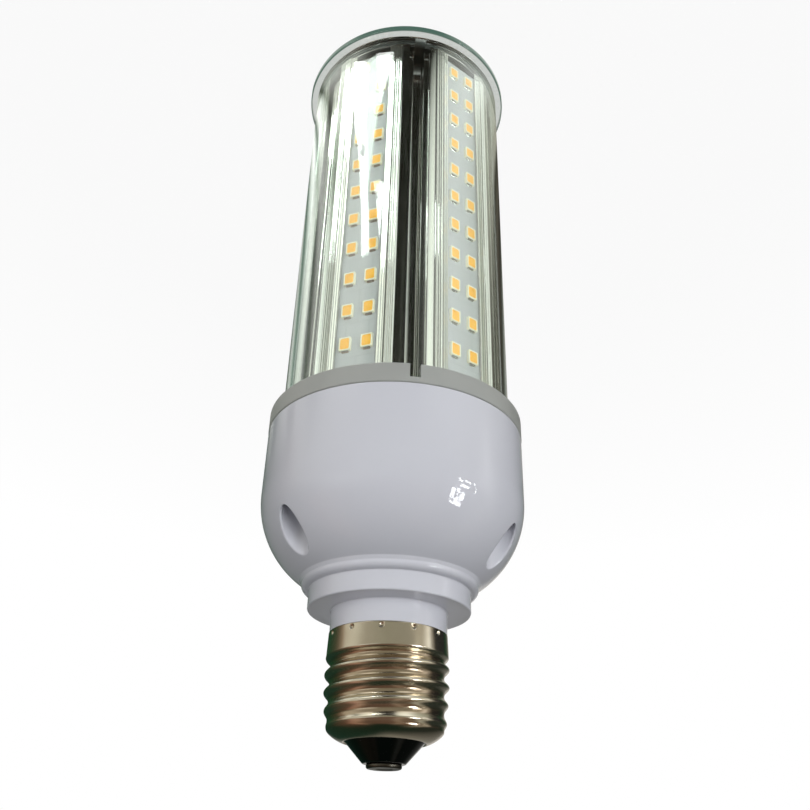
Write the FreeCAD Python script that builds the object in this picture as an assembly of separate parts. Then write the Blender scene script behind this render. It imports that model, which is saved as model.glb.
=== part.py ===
"""Corn LED bulb with a screw cap, standing on its flat head with the cap up.

Lengths are millimetres. The origin is the centre of the head's outer face, +Z runs along the axis
from the head to the cap's contact, and -Y passes through the collar's notch. Each piece is a solid
of its own, written to parts/NAME.step.
"""

import FreeCAD
import Part
import math
import os

from FreeCAD import Vector

# Clear cover and lid at the head
cover_diameter = 55.4
cover_wall = 1.2
lid_overhang = 2.0
lid_thickness = 2.0
lid_ring_height = 1.6
lid_ring_wall = 1.5
lid_notch_width = 3.0

# Clearances
slip = 0.1
sink_to_lid = 0.3
sink_to_cover = 0.3

# Heat sink extrusion, one sector for each board
board_count = 6
sink_length = 113.2
seat_depth = 2.9
seat_web = 2.3
lip_overlap = 0.5
lip_thickness = 0.6
lip_width = 1.7
reed_count = 3
reed_depth = 0.25
groove_width = 5.9
groove_depth = 2.6
slot_width = 2.8
slot_depth = 4.0
slot_wall = 1.7

# Boards and LED packages
board_width = 11.0
board_thickness = 1.0
board_head_gap = 1.5
board_cap_gap = 1.7
led_rows = 11
led_first_row = 4.4
led_last_row = 11.3
led_columns = 2
led_column_spacing = 5.3
led_width = 2.8
led_length = 3.5
led_height = 0.8

# Collar ring
collar_wall = 2.8
collar_rim_height = 3.4
collar_plate = 1.3
collar_hole_diameter = 24.0
notch_width = 2.4

# Driver housing
bowl_straight = 16.0
shoulder_radius = 22.0
shoulder_strips = 3
inner_strips = 2
housing_wall = 2.3
seam_step = 0.1
bead_diameter = 39.4
bead_height = 2.0
bead_round = 1.4
bead_fillet = 1.0
flange_diameter = 35.9
flange_thickness = 4.3
neck_diameter = 25.5
neck_length = 4.85
spigot_length = 6.8
spigot_fit = 0.15
neck_bore_diameter = 20.4

# Screws
recess_diameter = 6.3
boss_diameter = 5.0
recess_wall = 1.3
screw_seat_floor = 1.3
boss_height = 6.0
pilot_diameter = 2.5
screw_hole_diameter = 3.2
screw_head_diameter = 5.2
screw_head_height = 1.8
screw_bite = 5.0
sink_screw_bite = 3.0
screw_fit = 0.05

# Screw cap, 27 mm series
cap_crest_diameter = 26.4
cap_root_diameter = 24.2
cap_pitch = 3.629
cap_turns = 4
crest_width = 0.9
shell_wall = 0.35
skirt_length = 4.5
skirt_crest_drop = 0.15
shell_bend = 0.5
shell_shoulder = 2.2
shell_mouth_diameter = 17.2
insulator_cone_length = 3.9
insulator_tip_diameter = 8.8
insulator_inner_depth = 2.4
contact_diameter = 7.3
contact_thickness = 0.9
stem_diameter = 3.4

# Driver board, its parts and leads
driver_thickness = 1.4
driver_height = 21.0
driver_edge_gap = 4.2
driver_clear = 2.0
tongue_width = 17.0
tongue_length = 15.0
guide_grip = 1.2
guide_wall = 1.3
lead_diameter = 1.0
lead_lap = 4.0
lead_inset = 2.0
pad_spacing = 3.6
pad_inset = 1.2
wire_slot_length = 8.0
wire_slot_width = 2.2
link_clear = 0.3

# Parts on the driver board, sizes as (width, height, depth)
part_foot = 2.0
part_gap = 1.5
transformer_x = -1.0
core_size = (15.0, 14.0, 10.0)
core_leg = 5.0
core_window = 3.4
core_yoke = 2.5
core_lift = 2.0
bobbin_depth = 14.0
film_size = (5.0, 12.0, 9.0)
chip_size = (5.0, 4.0, 1.6)
rectifier_size = (4.7, 6.2, 2.4)
input_can_diameter = 10.0
input_can_length = 16.0
output_can_diameter = 8.0
output_can_length = 12.0
inductor_diameter = 9.0
inductor_length = 9.0
resistor_diameter = 3.4
resistor_length = 9.0

# Places that follow from the sizes above
sector = 2 * math.pi / board_count
front = -math.pi / 2
cover_radius = cover_diameter / 2
cover_bore = cover_radius - cover_wall
sink_radius = cover_bore - sink_to_cover
seat_height = sink_radius - seat_depth
board_face = seat_height + board_thickness
sink_head_z = lid_thickness + lid_ring_height + sink_to_lid
plate_z = sink_head_z + sink_length
seam_z = plate_z + collar_plate
collar_top_z = plate_z - collar_rim_height
collar_bore = cover_radius + slip
collar_hole_radius = collar_hole_diameter / 2
collar_radius = collar_bore + collar_wall
bowl_radius = collar_radius - seam_step
bowl_bore = bowl_radius - housing_wall
shoulder_z = seam_z + bowl_straight
shoulder_centre = bowl_radius - shoulder_radius
bead_radius = bead_diameter / 2
flange_radius = flange_diameter / 2
neck_radius = neck_diameter / 2
neck_bore = neck_bore_diameter / 2


def shoulder_at(radius, arc_radius):
    """Height at which the shoulder's arc, or its inner copy, has come in to a radius."""
    return shoulder_z + math.sqrt(arc_radius ** 2 - (radius - shoulder_centre) ** 2)


bead_z = shoulder_at(bead_radius, shoulder_radius)
flange_z = bead_z + bead_height
neck_z = flange_z + flange_thickness
shell_z = neck_z + neck_length
thread_z = shell_z + skirt_length
crest_radius = cap_crest_diameter / 2
root_radius = cap_root_diameter / 2
skirt_top_radius = neck_radius
skirt_low_radius = crest_radius - skirt_crest_drop
bend_z = thread_z + cap_pitch * cap_turns + shell_bend
shell_mouth_z = bend_z + shell_shoulder
shell_mouth_radius = shell_mouth_diameter / 2
shell_bore = root_radius - shell_wall
stem_z = bend_z - insulator_inner_depth
insulator_tip_z = shell_mouth_z + insulator_cone_length
contact_z = insulator_tip_z + contact_thickness
spigot_radius = root_radius - shell_wall - spigot_fit
boss_radius = boss_diameter / 2
boss_circle = bowl_bore - slip - boss_radius
seat_floor_z = seam_z + boss_height + slip
screw_seat_z = seat_floor_z + screw_seat_floor
link_z = seam_z + screw_head_height + link_clear + lead_diameter / 2
driver_face = -lead_diameter / 2
driver_z = link_z + lead_diameter / 2 + driver_clear
driver_half = bowl_bore - driver_edge_gap
tongue_z = driver_z + driver_height
tongue_end_z = tongue_z + tongue_length
transformer_z = driver_z + part_foot
driver_back = driver_face + lead_diameter + driver_thickness
led_plane = board_face + led_height
slot_half = slot_width / 2
groove_half = groove_width / 2
step_height = sink_radius - groove_depth
slot_bottom = step_height - slot_depth
pad_height = board_face + lead_diameter / 2
pad_z = plate_z - board_cap_gap - pad_inset
board_length = sink_length - board_head_gap - board_cap_gap
led_pitch = (board_length - led_first_row - led_last_row) / (led_rows - 1)


def place(angle, lateral, radial, z=0.0):
    """A point given across and along a direction from the axis."""
    return Vector(
        radial * math.cos(angle) - lateral * math.sin(angle),
        radial * math.sin(angle) + lateral * math.cos(angle),
        z,
    )


def board_angle(index):
    """Direction of a board's face. The front groove lies between the first and the last board."""
    return front + sector * (index + 0.5)


def polygon(points):
    """A flat face with straight sides through the points."""
    return Part.Face(Part.makePolygon(list(points) + [points[0]]))


def arc(centre, radius, first, last, strips):
    """Points in (radius, z) along an arc, one straight strip of the turned surface between each two."""
    turns = [first + (last - first) * k / strips for k in range(strips + 1)]
    return [(centre[0] + radius * math.cos(t), centre[1] + radius * math.sin(t)) for t in turns]


def turned(outline):
    """A solid of revolution about the axis from an outline in (radius, z)."""
    face = polygon([Vector(r, 0, z) for r, z in outline])
    return face.revolve(Vector(0, 0, 0), Vector(0, 0, 1), 360)


def tube(outer, inner, low, high):
    """A plain ring about the axis."""
    return turned([(inner, low), (outer, low), (outer, high), (inner, high)])


def rod(radius, centre, low, high):
    """An upright cylinder."""
    return Part.makeCylinder(radius, high - low, Vector(centre.x, centre.y, low))


def block(low, high):
    """A box between two corners."""
    return Part.makeBox(high[0] - low[0], high[1] - low[1], high[2] - low[2], Vector(*low))


def upright(shape, angle):
    """Turns a shape made about +X so that it faces the given direction."""
    turned_shape = shape.copy()
    turned_shape.rotate(Vector(0, 0, 0), Vector(0, 0, 1), math.degrees(angle))
    return turned_shape


def lead_run(points):
    """A lead along straight runs with mitred corners and a six-sided section."""
    along = (points[1] - points[0]).normalize()
    side = along.cross(Vector(1, 1, 1)).normalize() * (lead_diameter / 2)
    corners = []
    for k in range(6):
        turn = FreeCAD.Rotation(along, 60 * k)
        corners.append(points[0] + turn.multVec(side))
    start = Part.makePolygon(corners + [corners[0]])
    return Part.makePolygon(points).makePipeShell([start], True, True, 1)


def hex_prism(radius, centre, low, high):
    """An upright six-sided bar inside a circle."""
    corners = [centre + place(math.pi / 3 * k, 0, radius, low) for k in range(6)]
    return polygon(corners).extrude(Vector(0, 0, high - low))


def plain_screw(centre, head_z, tip_z):
    """A screw with its head on the cap's side of head_z. Thread and drive are left out."""
    head = hex_prism(screw_head_diameter / 2, centre, head_z, head_z + screw_head_height)
    return head.fuse(hex_prism(pilot_diameter / 2 - screw_fit, centre, tip_z, head_z))


def clear_cover():
    """The clear tube from the lid's flange to the collar's plate."""
    return tube(cover_radius, cover_bore, lid_thickness, plate_z)


def clear_lid():
    """The head's flange with its locating ring inside the tube, notched at the front."""
    flange = cover_radius + lid_overhang
    ring = cover_bore - slip
    lid = turned(
        [
            (0, 0), (flange, 0), (flange, lid_thickness),
            (ring, lid_thickness), (ring, lid_thickness + lid_ring_height),
            (ring - lid_ring_wall, lid_thickness + lid_ring_height), (ring - lid_ring_wall, lid_thickness),
            (0, lid_thickness),
        ]
    )
    notch = block(
        (-lid_notch_width / 2, -ring - slip, lid_thickness),
        (lid_notch_width / 2, -ring + lid_ring_wall + slip, lid_thickness + lid_ring_height + slip),
    )
    return lid.cut(notch)


def reeded_land(angle):
    """Points over the finely reeded land, from a board's lip to the groove on its far side."""
    lip_outer = board_width / 2 + slip - lip_overlap + lip_width
    first = math.asin(lip_outer / sink_radius)
    last = sector / 2 - math.asin(groove_half / sink_radius)
    points = []
    for k in range(2 * reed_count + 1):
        radius = sink_radius if k % 2 == 0 else sink_radius - reed_depth
        points.append(place(angle + first + (last - first) * k / (2 * reed_count), 0, radius))
    return points


def heat_sink():
    """The extrusion: board seats with lips, reeded lands, stepped grooves and a hollow core."""
    seat_half = board_width / 2 + slip
    lip_tip = seat_half - lip_overlap - slip
    lip_under = board_face + slip
    lip_top = lip_under + lip_thickness
    lip_outer = lip_tip + lip_width
    core = seat_height - seat_web
    port = slot_half + slot_wall
    core_half = (core * math.sin(sector / 2) - port) / math.cos(sector / 2)
    core_bottom = slot_bottom - slot_wall
    half_lip = [
        (seat_half, seat_height), (seat_half, lip_under), (lip_tip, lip_under),
        (lip_tip, lip_top), (lip_outer, lip_top),
    ]
    outside, inside = [], []
    for k in range(board_count):
        angle = board_angle(k)
        groove = angle + sector / 2
        land = reeded_land(0)
        mirrored = [Vector(p.x, -p.y, 0) for p in reversed(land)]
        outside += [place(angle, p.y, p.x) for p in mirrored]
        outside += [place(angle, -u, h) for u, h in reversed(half_lip)]
        outside += [place(angle, u, h) for u, h in half_lip]
        outside += [place(angle, p.y, p.x) for p in land]
        outside += [
            place(groove, -groove_half, step_height), place(groove, -slot_half, step_height),
            place(groove, -slot_half, slot_bottom), place(groove, slot_half, slot_bottom),
            place(groove, slot_half, step_height), place(groove, groove_half, step_height),
        ]
        inside += [place(angle, -core_half, core), place(angle, core_half, core)]
        inside += [place(groove, -port, core_bottom), place(groove, port, core_bottom)]
    profile = polygon(outside).cut(polygon(inside)).Faces[0]
    profile.translate(Vector(0, 0, sink_head_z))
    return profile.extrude(Vector(0, 0, sink_length))


def led_board(index):
    """One aluminium-backed board in its seat."""
    low = sink_head_z + board_head_gap
    high = plate_z - board_cap_gap
    board = block((seat_height, -board_width / 2, low), (board_face, board_width / 2, high))
    return upright(board, board_angle(index))


def led_places():
    """Across and up for each LED package on a board."""
    for row in range(led_rows):
        for column in range(led_columns):
            across = (column - (led_columns - 1) / 2) * led_column_spacing
            yield across, sink_head_z + board_head_gap + led_first_row + row * led_pitch


def led_packages(index):
    """The packages of one board, each with its filling level with its frame."""
    made = []
    for across, z in led_places():
        made.append(
            block(
                (board_face, across - led_width / 2, z - led_length / 2),
                (led_plane, across + led_width / 2, z + led_length / 2),
            )
        )
    return upright(Part.makeCompound(made), board_angle(index))


def recess_places():
    """Centres of the housing screws, under every second groove but not the notched one."""
    return [place(front + sector * (2 * k + 1), 0, boss_circle) for k in range(board_count // 2)]


def sink_screw_places():
    """Centres of the extrusion's screws, in the other grooves' slots."""
    radial = (step_height + slot_bottom) / 2
    return [place(front + sector * 2 * k, 0, radial) for k in range(board_count // 2)]


def collar_ring():
    """The grey ring: rim round the tube, plate under the extrusion and bosses into the bowl."""
    ring = turned(
        [
            (collar_bore, plate_z), (collar_bore, collar_top_z), (collar_radius, collar_top_z),
            (collar_radius, seam_z), (collar_hole_radius, seam_z), (collar_hole_radius, plate_z),
        ]
    )
    boss_z = seam_z + boss_height
    ring = ring.fuse(Part.makeCompound([rod(boss_radius, c, seam_z, boss_z) for c in recess_places()]))
    holes = [hex_prism(pilot_diameter / 2, c, seam_z, boss_z) for c in recess_places()]
    holes += [hex_prism(screw_hole_diameter / 2, c, plate_z, seam_z) for c in sink_screw_places()]
    slot = block(
        (pad_height - wire_slot_width / 2, -wire_slot_length / 2, plate_z),
        (pad_height + wire_slot_width / 2, wire_slot_length / 2, seam_z),
    )
    holes += [upright(slot, board_angle(k)) for k in range(board_count)]
    holes.append(
        block(
            (-notch_width / 2, -collar_radius - slip, collar_top_z),
            (notch_width / 2, -collar_bore + slip, plate_z),
        )
    )
    return ring.cut(Part.makeCompound(holes)).removeSplitter()


def housing_outside():
    """The housing's outer form as one turned solid: bowl, shoulder, bead, flange, neck and spigot."""
    last = math.acos((bead_radius + bead_fillet - shoulder_centre) / shoulder_radius)
    shoulder = arc((shoulder_centre, shoulder_z), shoulder_radius, 0, last, shoulder_strips)
    bead = arc((bead_radius - bead_round, flange_z - bead_round), bead_round, 0, math.pi / 2, 1)
    spigot_z = shell_z + spigot_length
    return turned(
        [(0, seam_z), (bowl_radius, seam_z)]
        + shoulder
        + [(bead_radius, bead_z)]
        + bead
        + [
            (flange_radius, flange_z), (flange_radius, neck_z), (neck_radius, neck_z),
            (neck_radius, shell_z), (spigot_radius, shell_z), (spigot_radius, spigot_z), (0, spigot_z),
        ]
    )


def housing_inside():
    """The hollow of the housing: bowl, inner shoulder and neck bore."""
    inner = shoulder_radius - housing_wall
    last = math.acos((neck_bore - shoulder_centre) / inner)
    shoulder = arc((shoulder_centre, shoulder_z), inner, 0, last, inner_strips)
    spigot_z = shell_z + spigot_length
    return turned([(0, seam_z), (bowl_bore, seam_z)] + shoulder + [(neck_bore, spigot_z), (0, spigot_z)])


def board_guides():
    """Two upright channels on the bowl's wall that take the driver board's edges."""
    low = driver_z
    made = []
    for side in (-1, 1):
        xs = sorted((side * (driver_half - guide_grip), side * bowl_radius))
        made.append(
            block(
                (xs[0], driver_back - driver_thickness - slip - guide_wall, low),
                (xs[1], driver_back + slip + guide_wall, tongue_z),
            )
        )
    channel = block(
        (-driver_half - slip, driver_back - driver_thickness - slip, low),
        (driver_half + slip, driver_back + slip, tongue_z + slip),
    )
    return Part.makeCompound(made).cut(channel)


def driver_housing():
    """The white moulding with its screw recesses and board guides."""
    hollow = housing_inside()
    wall_radius = recess_diameter / 2 + recess_wall
    walls = [rod(wall_radius, c, seat_floor_z, flange_z) for c in recess_places()]
    hollow = hollow.cut(Part.makeCompound(walls + [board_guides()]))
    cuts = [hollow]
    for centre in recess_places():
        cuts.append(rod(recess_diameter / 2, centre, screw_seat_z, flange_z))
        cuts.append(hex_prism(screw_hole_diameter / 2, centre, seat_floor_z, screw_seat_z))
    return housing_outside().cut(Part.makeCompound(cuts)).removeSplitter()


def screw_shell():
    """The cap's shell: skirt, thread rings at the true pitch, rolled shoulder and a plain bore."""
    rings = []
    for turn in range(cap_turns):
        root_z = thread_z + (cap_pitch - crest_width) / 2 + turn * cap_pitch
        crest_z = root_z + (cap_pitch - crest_width) / 2
        rings += [(root_radius, root_z), (crest_radius, crest_z), (crest_radius, crest_z + crest_width)]
    return turned(
        [(skirt_top_radius, shell_z), (skirt_low_radius, thread_z)]
        + rings
        + [
            (root_radius, bend_z), (shell_mouth_radius, shell_mouth_z),
            (shell_mouth_radius - shell_wall, shell_mouth_z), (shell_bore, bend_z), (shell_bore, thread_z),
            (skirt_low_radius - shell_wall, thread_z), (skirt_top_radius - shell_wall, shell_z),
        ]
    )


def cap_insulator():
    """The glassy insulator: a plug inside the shell's shoulder and the cone out to the contact."""
    bore = stem_diameter / 2
    plug = shell_bore - slip
    return turned(
        [
            (bore, stem_z), (plug, stem_z), (plug, bend_z),
            (shell_mouth_radius - shell_wall - slip, shell_mouth_z),
            (insulator_tip_diameter / 2, insulator_tip_z), (bore, insulator_tip_z),
        ]
    )


def centre_contact():
    """The contact disc with the stem that holds it through the insulator."""
    edge = contact_thickness / 3
    radius = contact_diameter / 2
    return turned(
        [
            (0, stem_z), (stem_diameter / 2, stem_z), (stem_diameter / 2, insulator_tip_z),
            (radius, insulator_tip_z), (radius, contact_z - edge), (radius - edge, contact_z),
            (0, contact_z),
        ]
    )


def housing_screws():
    """The screws at the bottom of the recesses, into the collar's bosses."""
    tip_z = seat_floor_z - screw_bite
    return Part.makeCompound([plain_screw(c, screw_seat_z, tip_z) for c in recess_places()])


def heat_sink_screws():
    """The screws through the collar's plate into the extrusion's slots."""
    tip_z = plate_z - sink_screw_bite
    return Part.makeCompound([plain_screw(c, seam_z, tip_z) for c in sink_screw_places()])


def driver_board():
    """The driver's board: a wide part in the bowl's guides and a tongue into the neck."""
    half, tongue = driver_half, tongue_width / 2
    corners = [
        (-half, driver_z), (half, driver_z), (half, tongue_z), (tongue, tongue_z),
        (tongue, tongue_end_z), (-tongue, tongue_end_z), (-tongue, tongue_z), (-half, tongue_z),
    ]
    face = polygon([Vector(x, driver_back - driver_thickness, z) for x, z in corners])
    return face.extrude(Vector(0, driver_thickness, 0))


def front_box(centre, low, size, lift=0.0):
    """A box on the driver board's front face from its middle x, its foot and its (width, height, depth)."""
    width, height, depth = size
    face = driver_back - driver_thickness - lift
    return block((centre - width / 2, face - depth, low), (centre + width / 2, face, low + height))


def transformer_core():
    """Closed ferrite core with a centre leg and two windows, held off the board by its bobbin."""
    core = front_box(transformer_x, transformer_z, core_size, core_lift)
    window = (core_window, core_size[1] - 2 * core_yoke, core_size[2])
    offset = (core_leg + core_window) / 2
    for x in (transformer_x - offset, transformer_x + offset):
        core = core.cut(front_box(x, transformer_z + core_yoke, window, core_lift))
    return core


def transformer_winding():
    """The wound bobbin round the centre leg, which stands on the board."""
    width = core_leg + 2 * core_window - 2 * slip
    height = core_size[1] - 2 * core_yoke - 2 * slip
    bobbin = front_box(transformer_x, transformer_z + core_yoke + slip, (width, height, bobbin_depth))
    leg = (core_leg + 2 * slip, core_size[1], core_size[2])
    return bobbin.cut(front_box(transformer_x, transformer_z, leg, core_lift))


def back_cylinder(x, low, diameter, length):
    """An upright cylinder that lies against the driver board's back face."""
    return rod(diameter / 2, Vector(x, driver_back + diameter / 2, 0), low, low + length)


def input_capacitor():
    """Large electrolytic can on the board's back."""
    return back_cylinder(0.0, driver_z + part_foot, input_can_diameter, input_can_length)


def output_capacitor():
    """Smaller electrolytic can on the board's back."""
    x = (input_can_diameter + output_can_diameter) / 2 + part_gap
    return back_cylinder(x, driver_z + part_foot, output_can_diameter, output_can_length)


def line_inductor():
    """Sleeved drum inductor that stands out from the board's back."""
    x = -(input_can_diameter + inductor_diameter) / 2 - part_gap
    foot = Vector(x, driver_back, driver_z + part_foot + inductor_diameter / 2)
    return Part.makeCylinder(inductor_diameter / 2, inductor_length, foot, Vector(0, 1, 0))


def film_capacitor():
    """Box-shaped film capacitor beside the transformer."""
    x = transformer_x + (core_size[0] + film_size[0]) / 2 + part_gap
    return front_box(x, transformer_z, film_size)


def switching_chip():
    """Small controller package on the transformer's other side."""
    x = transformer_x - (core_size[0] + chip_size[0]) / 2 - part_gap
    return front_box(x, transformer_z, chip_size)


def bridge_rectifier():
    """Flat rectifier package on the tongue."""
    return front_box(-tongue_width / 4, tongue_z + part_gap, rectifier_size)


def fusible_resistor():
    """Axial fusible resistor on the back of the tongue."""
    return back_cylinder(tongue_width / 4, tongue_z + part_gap, resistor_diameter, resistor_length)


def live_lead():
    """Straight lead from the contact's stem to the front of the tongue."""
    return hex_prism(lead_diameter / 2, Vector(0, 0, 0), tongue_end_z - lead_lap, stem_z)


def neutral_lead():
    """Lead from the tongue out over the spigot's edge to the inside of the shell."""
    reach = shell_bore - slip
    neutral_z = shell_z + spigot_length + slip + lead_diameter / 2
    x = tongue_width / 2 - lead_inset
    points = [(x, tongue_end_z - lead_lap), (x, neutral_z), (reach, neutral_z)]
    return lead_run([Vector(u, 0, z) for u, z in points])


def pad_point(index, side, z):
    """Centre line of a lead over a board's solder pad."""
    return place(board_angle(index), side * pad_spacing / 2, pad_height, z)


def led_leads():
    """The two leads from the driver board to the first and the last LED board."""
    made = []
    for index, side in ((0, -1), (board_count - 1, 1)):
        foot = pad_point(index, side, pad_z)
        turn_z = driver_z + lead_diameter
        start = Vector(foot.x, 0.5 * lead_diameter, turn_z)
        made.append(lead_run([start, Vector(foot.x, foot.y, turn_z), foot]))
    return Part.makeCompound(made)


def board_links():
    """Short links under the collar's plate that join each LED board to the next."""
    made = []
    for index in range(board_count - 1):
        ends = (index, 1), (index + 1, -1)
        feet = [pad_point(i, side, pad_z) for i, side in ends]
        turns = [pad_point(i, side, link_z) for i, side in ends]
        made.append(lead_run([feet[0], turns[0], turns[1], feet[1]]))
    return Part.makeCompound(made)


def nodes():
    """Every piece by the name of its file."""
    made = {
        "clear_lid": clear_lid(),
        "clear_cover": clear_cover(),
        "heat_sink": heat_sink(),
        "collar_ring": collar_ring(),
        "heat_sink_screws": heat_sink_screws(),
        "driver_housing": driver_housing(),
        "housing_screws": housing_screws(),
        "screw_shell": screw_shell(),
        "cap_insulator": cap_insulator(),
        "centre_contact": centre_contact(),
        "driver_board": driver_board(),
        "transformer_core": transformer_core(),
        "transformer_winding": transformer_winding(),
        "input_capacitor": input_capacitor(),
        "output_capacitor": output_capacitor(),
        "line_inductor": line_inductor(),
        "film_capacitor": film_capacitor(),
        "bridge_rectifier": bridge_rectifier(),
        "fusible_resistor": fusible_resistor(),
        "switching_chip": switching_chip(),
        "live_lead": live_lead(),
        "neutral_lead": neutral_lead(),
        "led_leads": led_leads(),
        "board_links": board_links(),
    }
    for k in range(board_count):
        made[f"led_board_{k + 1}"] = led_board(k)
        made[f"led_packages_{k + 1}"] = led_packages(k)
    return made


os.makedirs("parts", exist_ok=True)
for name, shape in nodes().items():
    shape.exportStep(os.path.join("parts", name + ".step"))
    print(name, len(shape.Solids), round(shape.Volume, 1), shape.isValid())
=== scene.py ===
"""Corn LED bulb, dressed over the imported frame.

The bulb stands on its flat head with the screw cap up, as in the frame: +Z runs from the head to the
cap's contact, and -Y passes through the notch of the grey collar. Sizes in the classes are millimetres,
and meshes are in metres. Every piece is a surface of two parameters that numpy works out as whole arrays.
"""

from __future__ import annotations

import logging
import math
from dataclasses import dataclass, replace
from enum import Enum
from functools import lru_cache
from typing import Any, Callable

import bpy
import numpy as np
from mathutils import Matrix, Vector
from mathutils.geometry import tessellate_polygon


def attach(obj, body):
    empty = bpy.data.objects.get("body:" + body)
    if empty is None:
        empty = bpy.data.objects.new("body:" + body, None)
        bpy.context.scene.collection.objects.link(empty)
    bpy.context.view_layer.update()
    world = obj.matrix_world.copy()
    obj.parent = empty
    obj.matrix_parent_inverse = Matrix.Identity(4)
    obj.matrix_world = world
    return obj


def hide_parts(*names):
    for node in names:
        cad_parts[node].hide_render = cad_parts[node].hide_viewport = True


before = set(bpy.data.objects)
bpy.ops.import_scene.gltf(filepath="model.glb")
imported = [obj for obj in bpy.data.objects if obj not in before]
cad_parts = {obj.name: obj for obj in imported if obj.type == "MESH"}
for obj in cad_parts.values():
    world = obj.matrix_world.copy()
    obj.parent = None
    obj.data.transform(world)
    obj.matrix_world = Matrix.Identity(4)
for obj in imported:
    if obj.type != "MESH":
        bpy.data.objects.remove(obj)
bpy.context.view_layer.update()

Array = np.ndarray
Socket = bpy.types.NodeSocket
Triple = tuple[float, float, float]
LOG = logging.getLogger("corn_bulb")
MM = 0.001
FRONT = -math.pi / 2
SECTOR = math.pi / 3
# Directions of the boards, from the one after the front groove, and of the housing's three screws.
SIDES = FRONT + SECTOR * (np.arange(6) + 0.5)
THIRDS = FRONT + SECTOR * np.array([1, 3, 5])


class Slot(Enum):
    """Names of material slots for the new pieces, which nothing in the script reads."""

    CLEAR = "clear_plastic"
    EXTRUSION = "extruded_aluminium"
    COLLAR = "grey_plastic"
    HOUSING = "white_plastic"
    PLATED = "plated_metal"
    INSULATOR = "black_insulator"
    CONTACT = "contact_metal"
    BOARD = "white_board"
    LED = "led_package"


# Shapes as arrays


def spread(count: Array) -> tuple[Array, Array]:
    """Repeats each item's number as often as its count says.

    Returns:
        The items' numbers, and the place of each entry within its item.
    """
    which = np.repeat(np.arange(len(count)), count)
    return which, np.arange(len(which)) - (np.cumsum(count) - count)[which]


def rounded(table: Any, closed: bool = True) -> Array:
    """Turns an outline's corners into arcs.

    The arc at a corner touches both runs. The touching points lie at radius / tan(half angle) from the
    corner, the centre at radius / sin(half angle) on the bisector, and the points between come from
    turning the direction from the centre evenly from one touching point to the other.

    Args:
        table: Rows of (across, up, arc radius, steps). No steps keeps the corner sharp.
        closed: Whether the last corner joins the first.

    Returns:
        The outline's points, one row each.
    """
    corners = np.array(table, dtype=float)
    corner, radius, steps = corners[:, :2], corners[:, 2:3], corners[:, 3].astype(int)
    if not closed:
        steps[[0, -1]] = 0
    before = np.roll(corner, 1, axis=0) - corner
    after = np.roll(corner, -1, axis=0) - corner
    before /= np.linalg.norm(before, axis=1)[:, None]
    after /= np.linalg.norm(after, axis=1)[:, None]
    half = np.arccos(np.clip((before * after).sum(axis=1), -0.9999, 0.9999))[:, None] / 2
    bisector = before + after
    bisector /= np.maximum(np.linalg.norm(bisector, axis=1), 1e-9)[:, None]
    reach = radius / np.tan(half)
    centre = corner + bisector * radius / np.sin(half)
    start = corner + before * reach - centre
    end = corner + after * reach - centre
    which, place = spread(steps + 1)
    part = (place / np.maximum(steps[which], 1))[:, None]
    sweep = math.pi - 2 * half[which]
    between = np.sin((1 - part) * sweep) * start[which] + np.sin(part * sweep) * end[which]
    arcs = centre[which] + between / np.sin(sweep)
    return np.where((steps[which] == 0)[:, None], corner[which], arcs)


def held(outline: Array, hold: float = 0.12, closed: bool = True) -> Array:
    """Adds a point near both ends of each long run, so that smooth shading stays flat between them.

    Args:
        outline: Points, one row each.
        hold: Distance of the added points from the run's ends.
        closed: Whether the last point joins the first.

    Returns:
        The outline with the added points, each at start + (end - start) * share of the run.
    """
    following = np.roll(outline, -1, axis=0)
    length = np.linalg.norm(following - outline, axis=1)
    count = np.where(length > 4 * hold, 3, 1)
    if not closed:
        count[-1] = 1
    which, place = spread(count)
    near = hold / np.maximum(length[which], 1e-9)
    share = np.choose(place, [0 * near, near, 1 - near])
    return outline[which] + (following[which] - outline[which]) * share[:, None]


def round_steps(columns: int) -> Array:
    """Angles of even steps round the axis."""
    return np.arange(columns) * 2 * math.pi / columns


def polar(radius: Any, angle: Array, height: Any) -> Array:
    """Points (r cos a, r sin a, z), of the shape that the three give together."""
    return np.stack(np.broadcast_arrays(radius * np.cos(angle), radius * np.sin(angle), height), axis=-1)


def spun(x: Any, y: Any, angle: Any) -> tuple[Any, Any]:
    """Turns x and y about the axis: x cos - y sin, x sin + y cos."""
    c, s = np.cos(angle), np.sin(angle)
    return x * c - y * s, x * s + y * c


def at_height(flat: Array, height: float) -> Array:
    """Flat points (x, y) with a height."""
    return np.column_stack([flat, np.full(len(flat), height)])


def sheet_faces(rows: int, columns: int, ring: bool = False) -> Array:
    """Quads of a grid whose columns close: (i, j), (i, j+1), (i+1, j+1), (i+1, j).

    Args:
        rows: Number of rows.
        columns: Number of columns, the last of which joins the first.
        ring: Whether the last row joins the first.

    Returns:
        One row of four point numbers for each quad.
    """
    i, j = np.meshgrid(np.arange(rows if ring else rows - 1), np.arange(columns), indexing="ij")
    i_next = (i + 1) % rows
    j_next = (j + 1) % columns
    quads = [i * columns + j, i * columns + j_next, i_next * columns + j_next, i_next * columns + j]
    return np.stack(quads, axis=-1).reshape(-1, 4)


def end_faces(rows: int, columns: int) -> list[Array]:
    """One face over a grid's first row, seen from below, and one over its last, seen from above."""
    row = np.arange(columns)[None]
    return [row[:, ::-1], (rows - 1) * columns + row]


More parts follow.
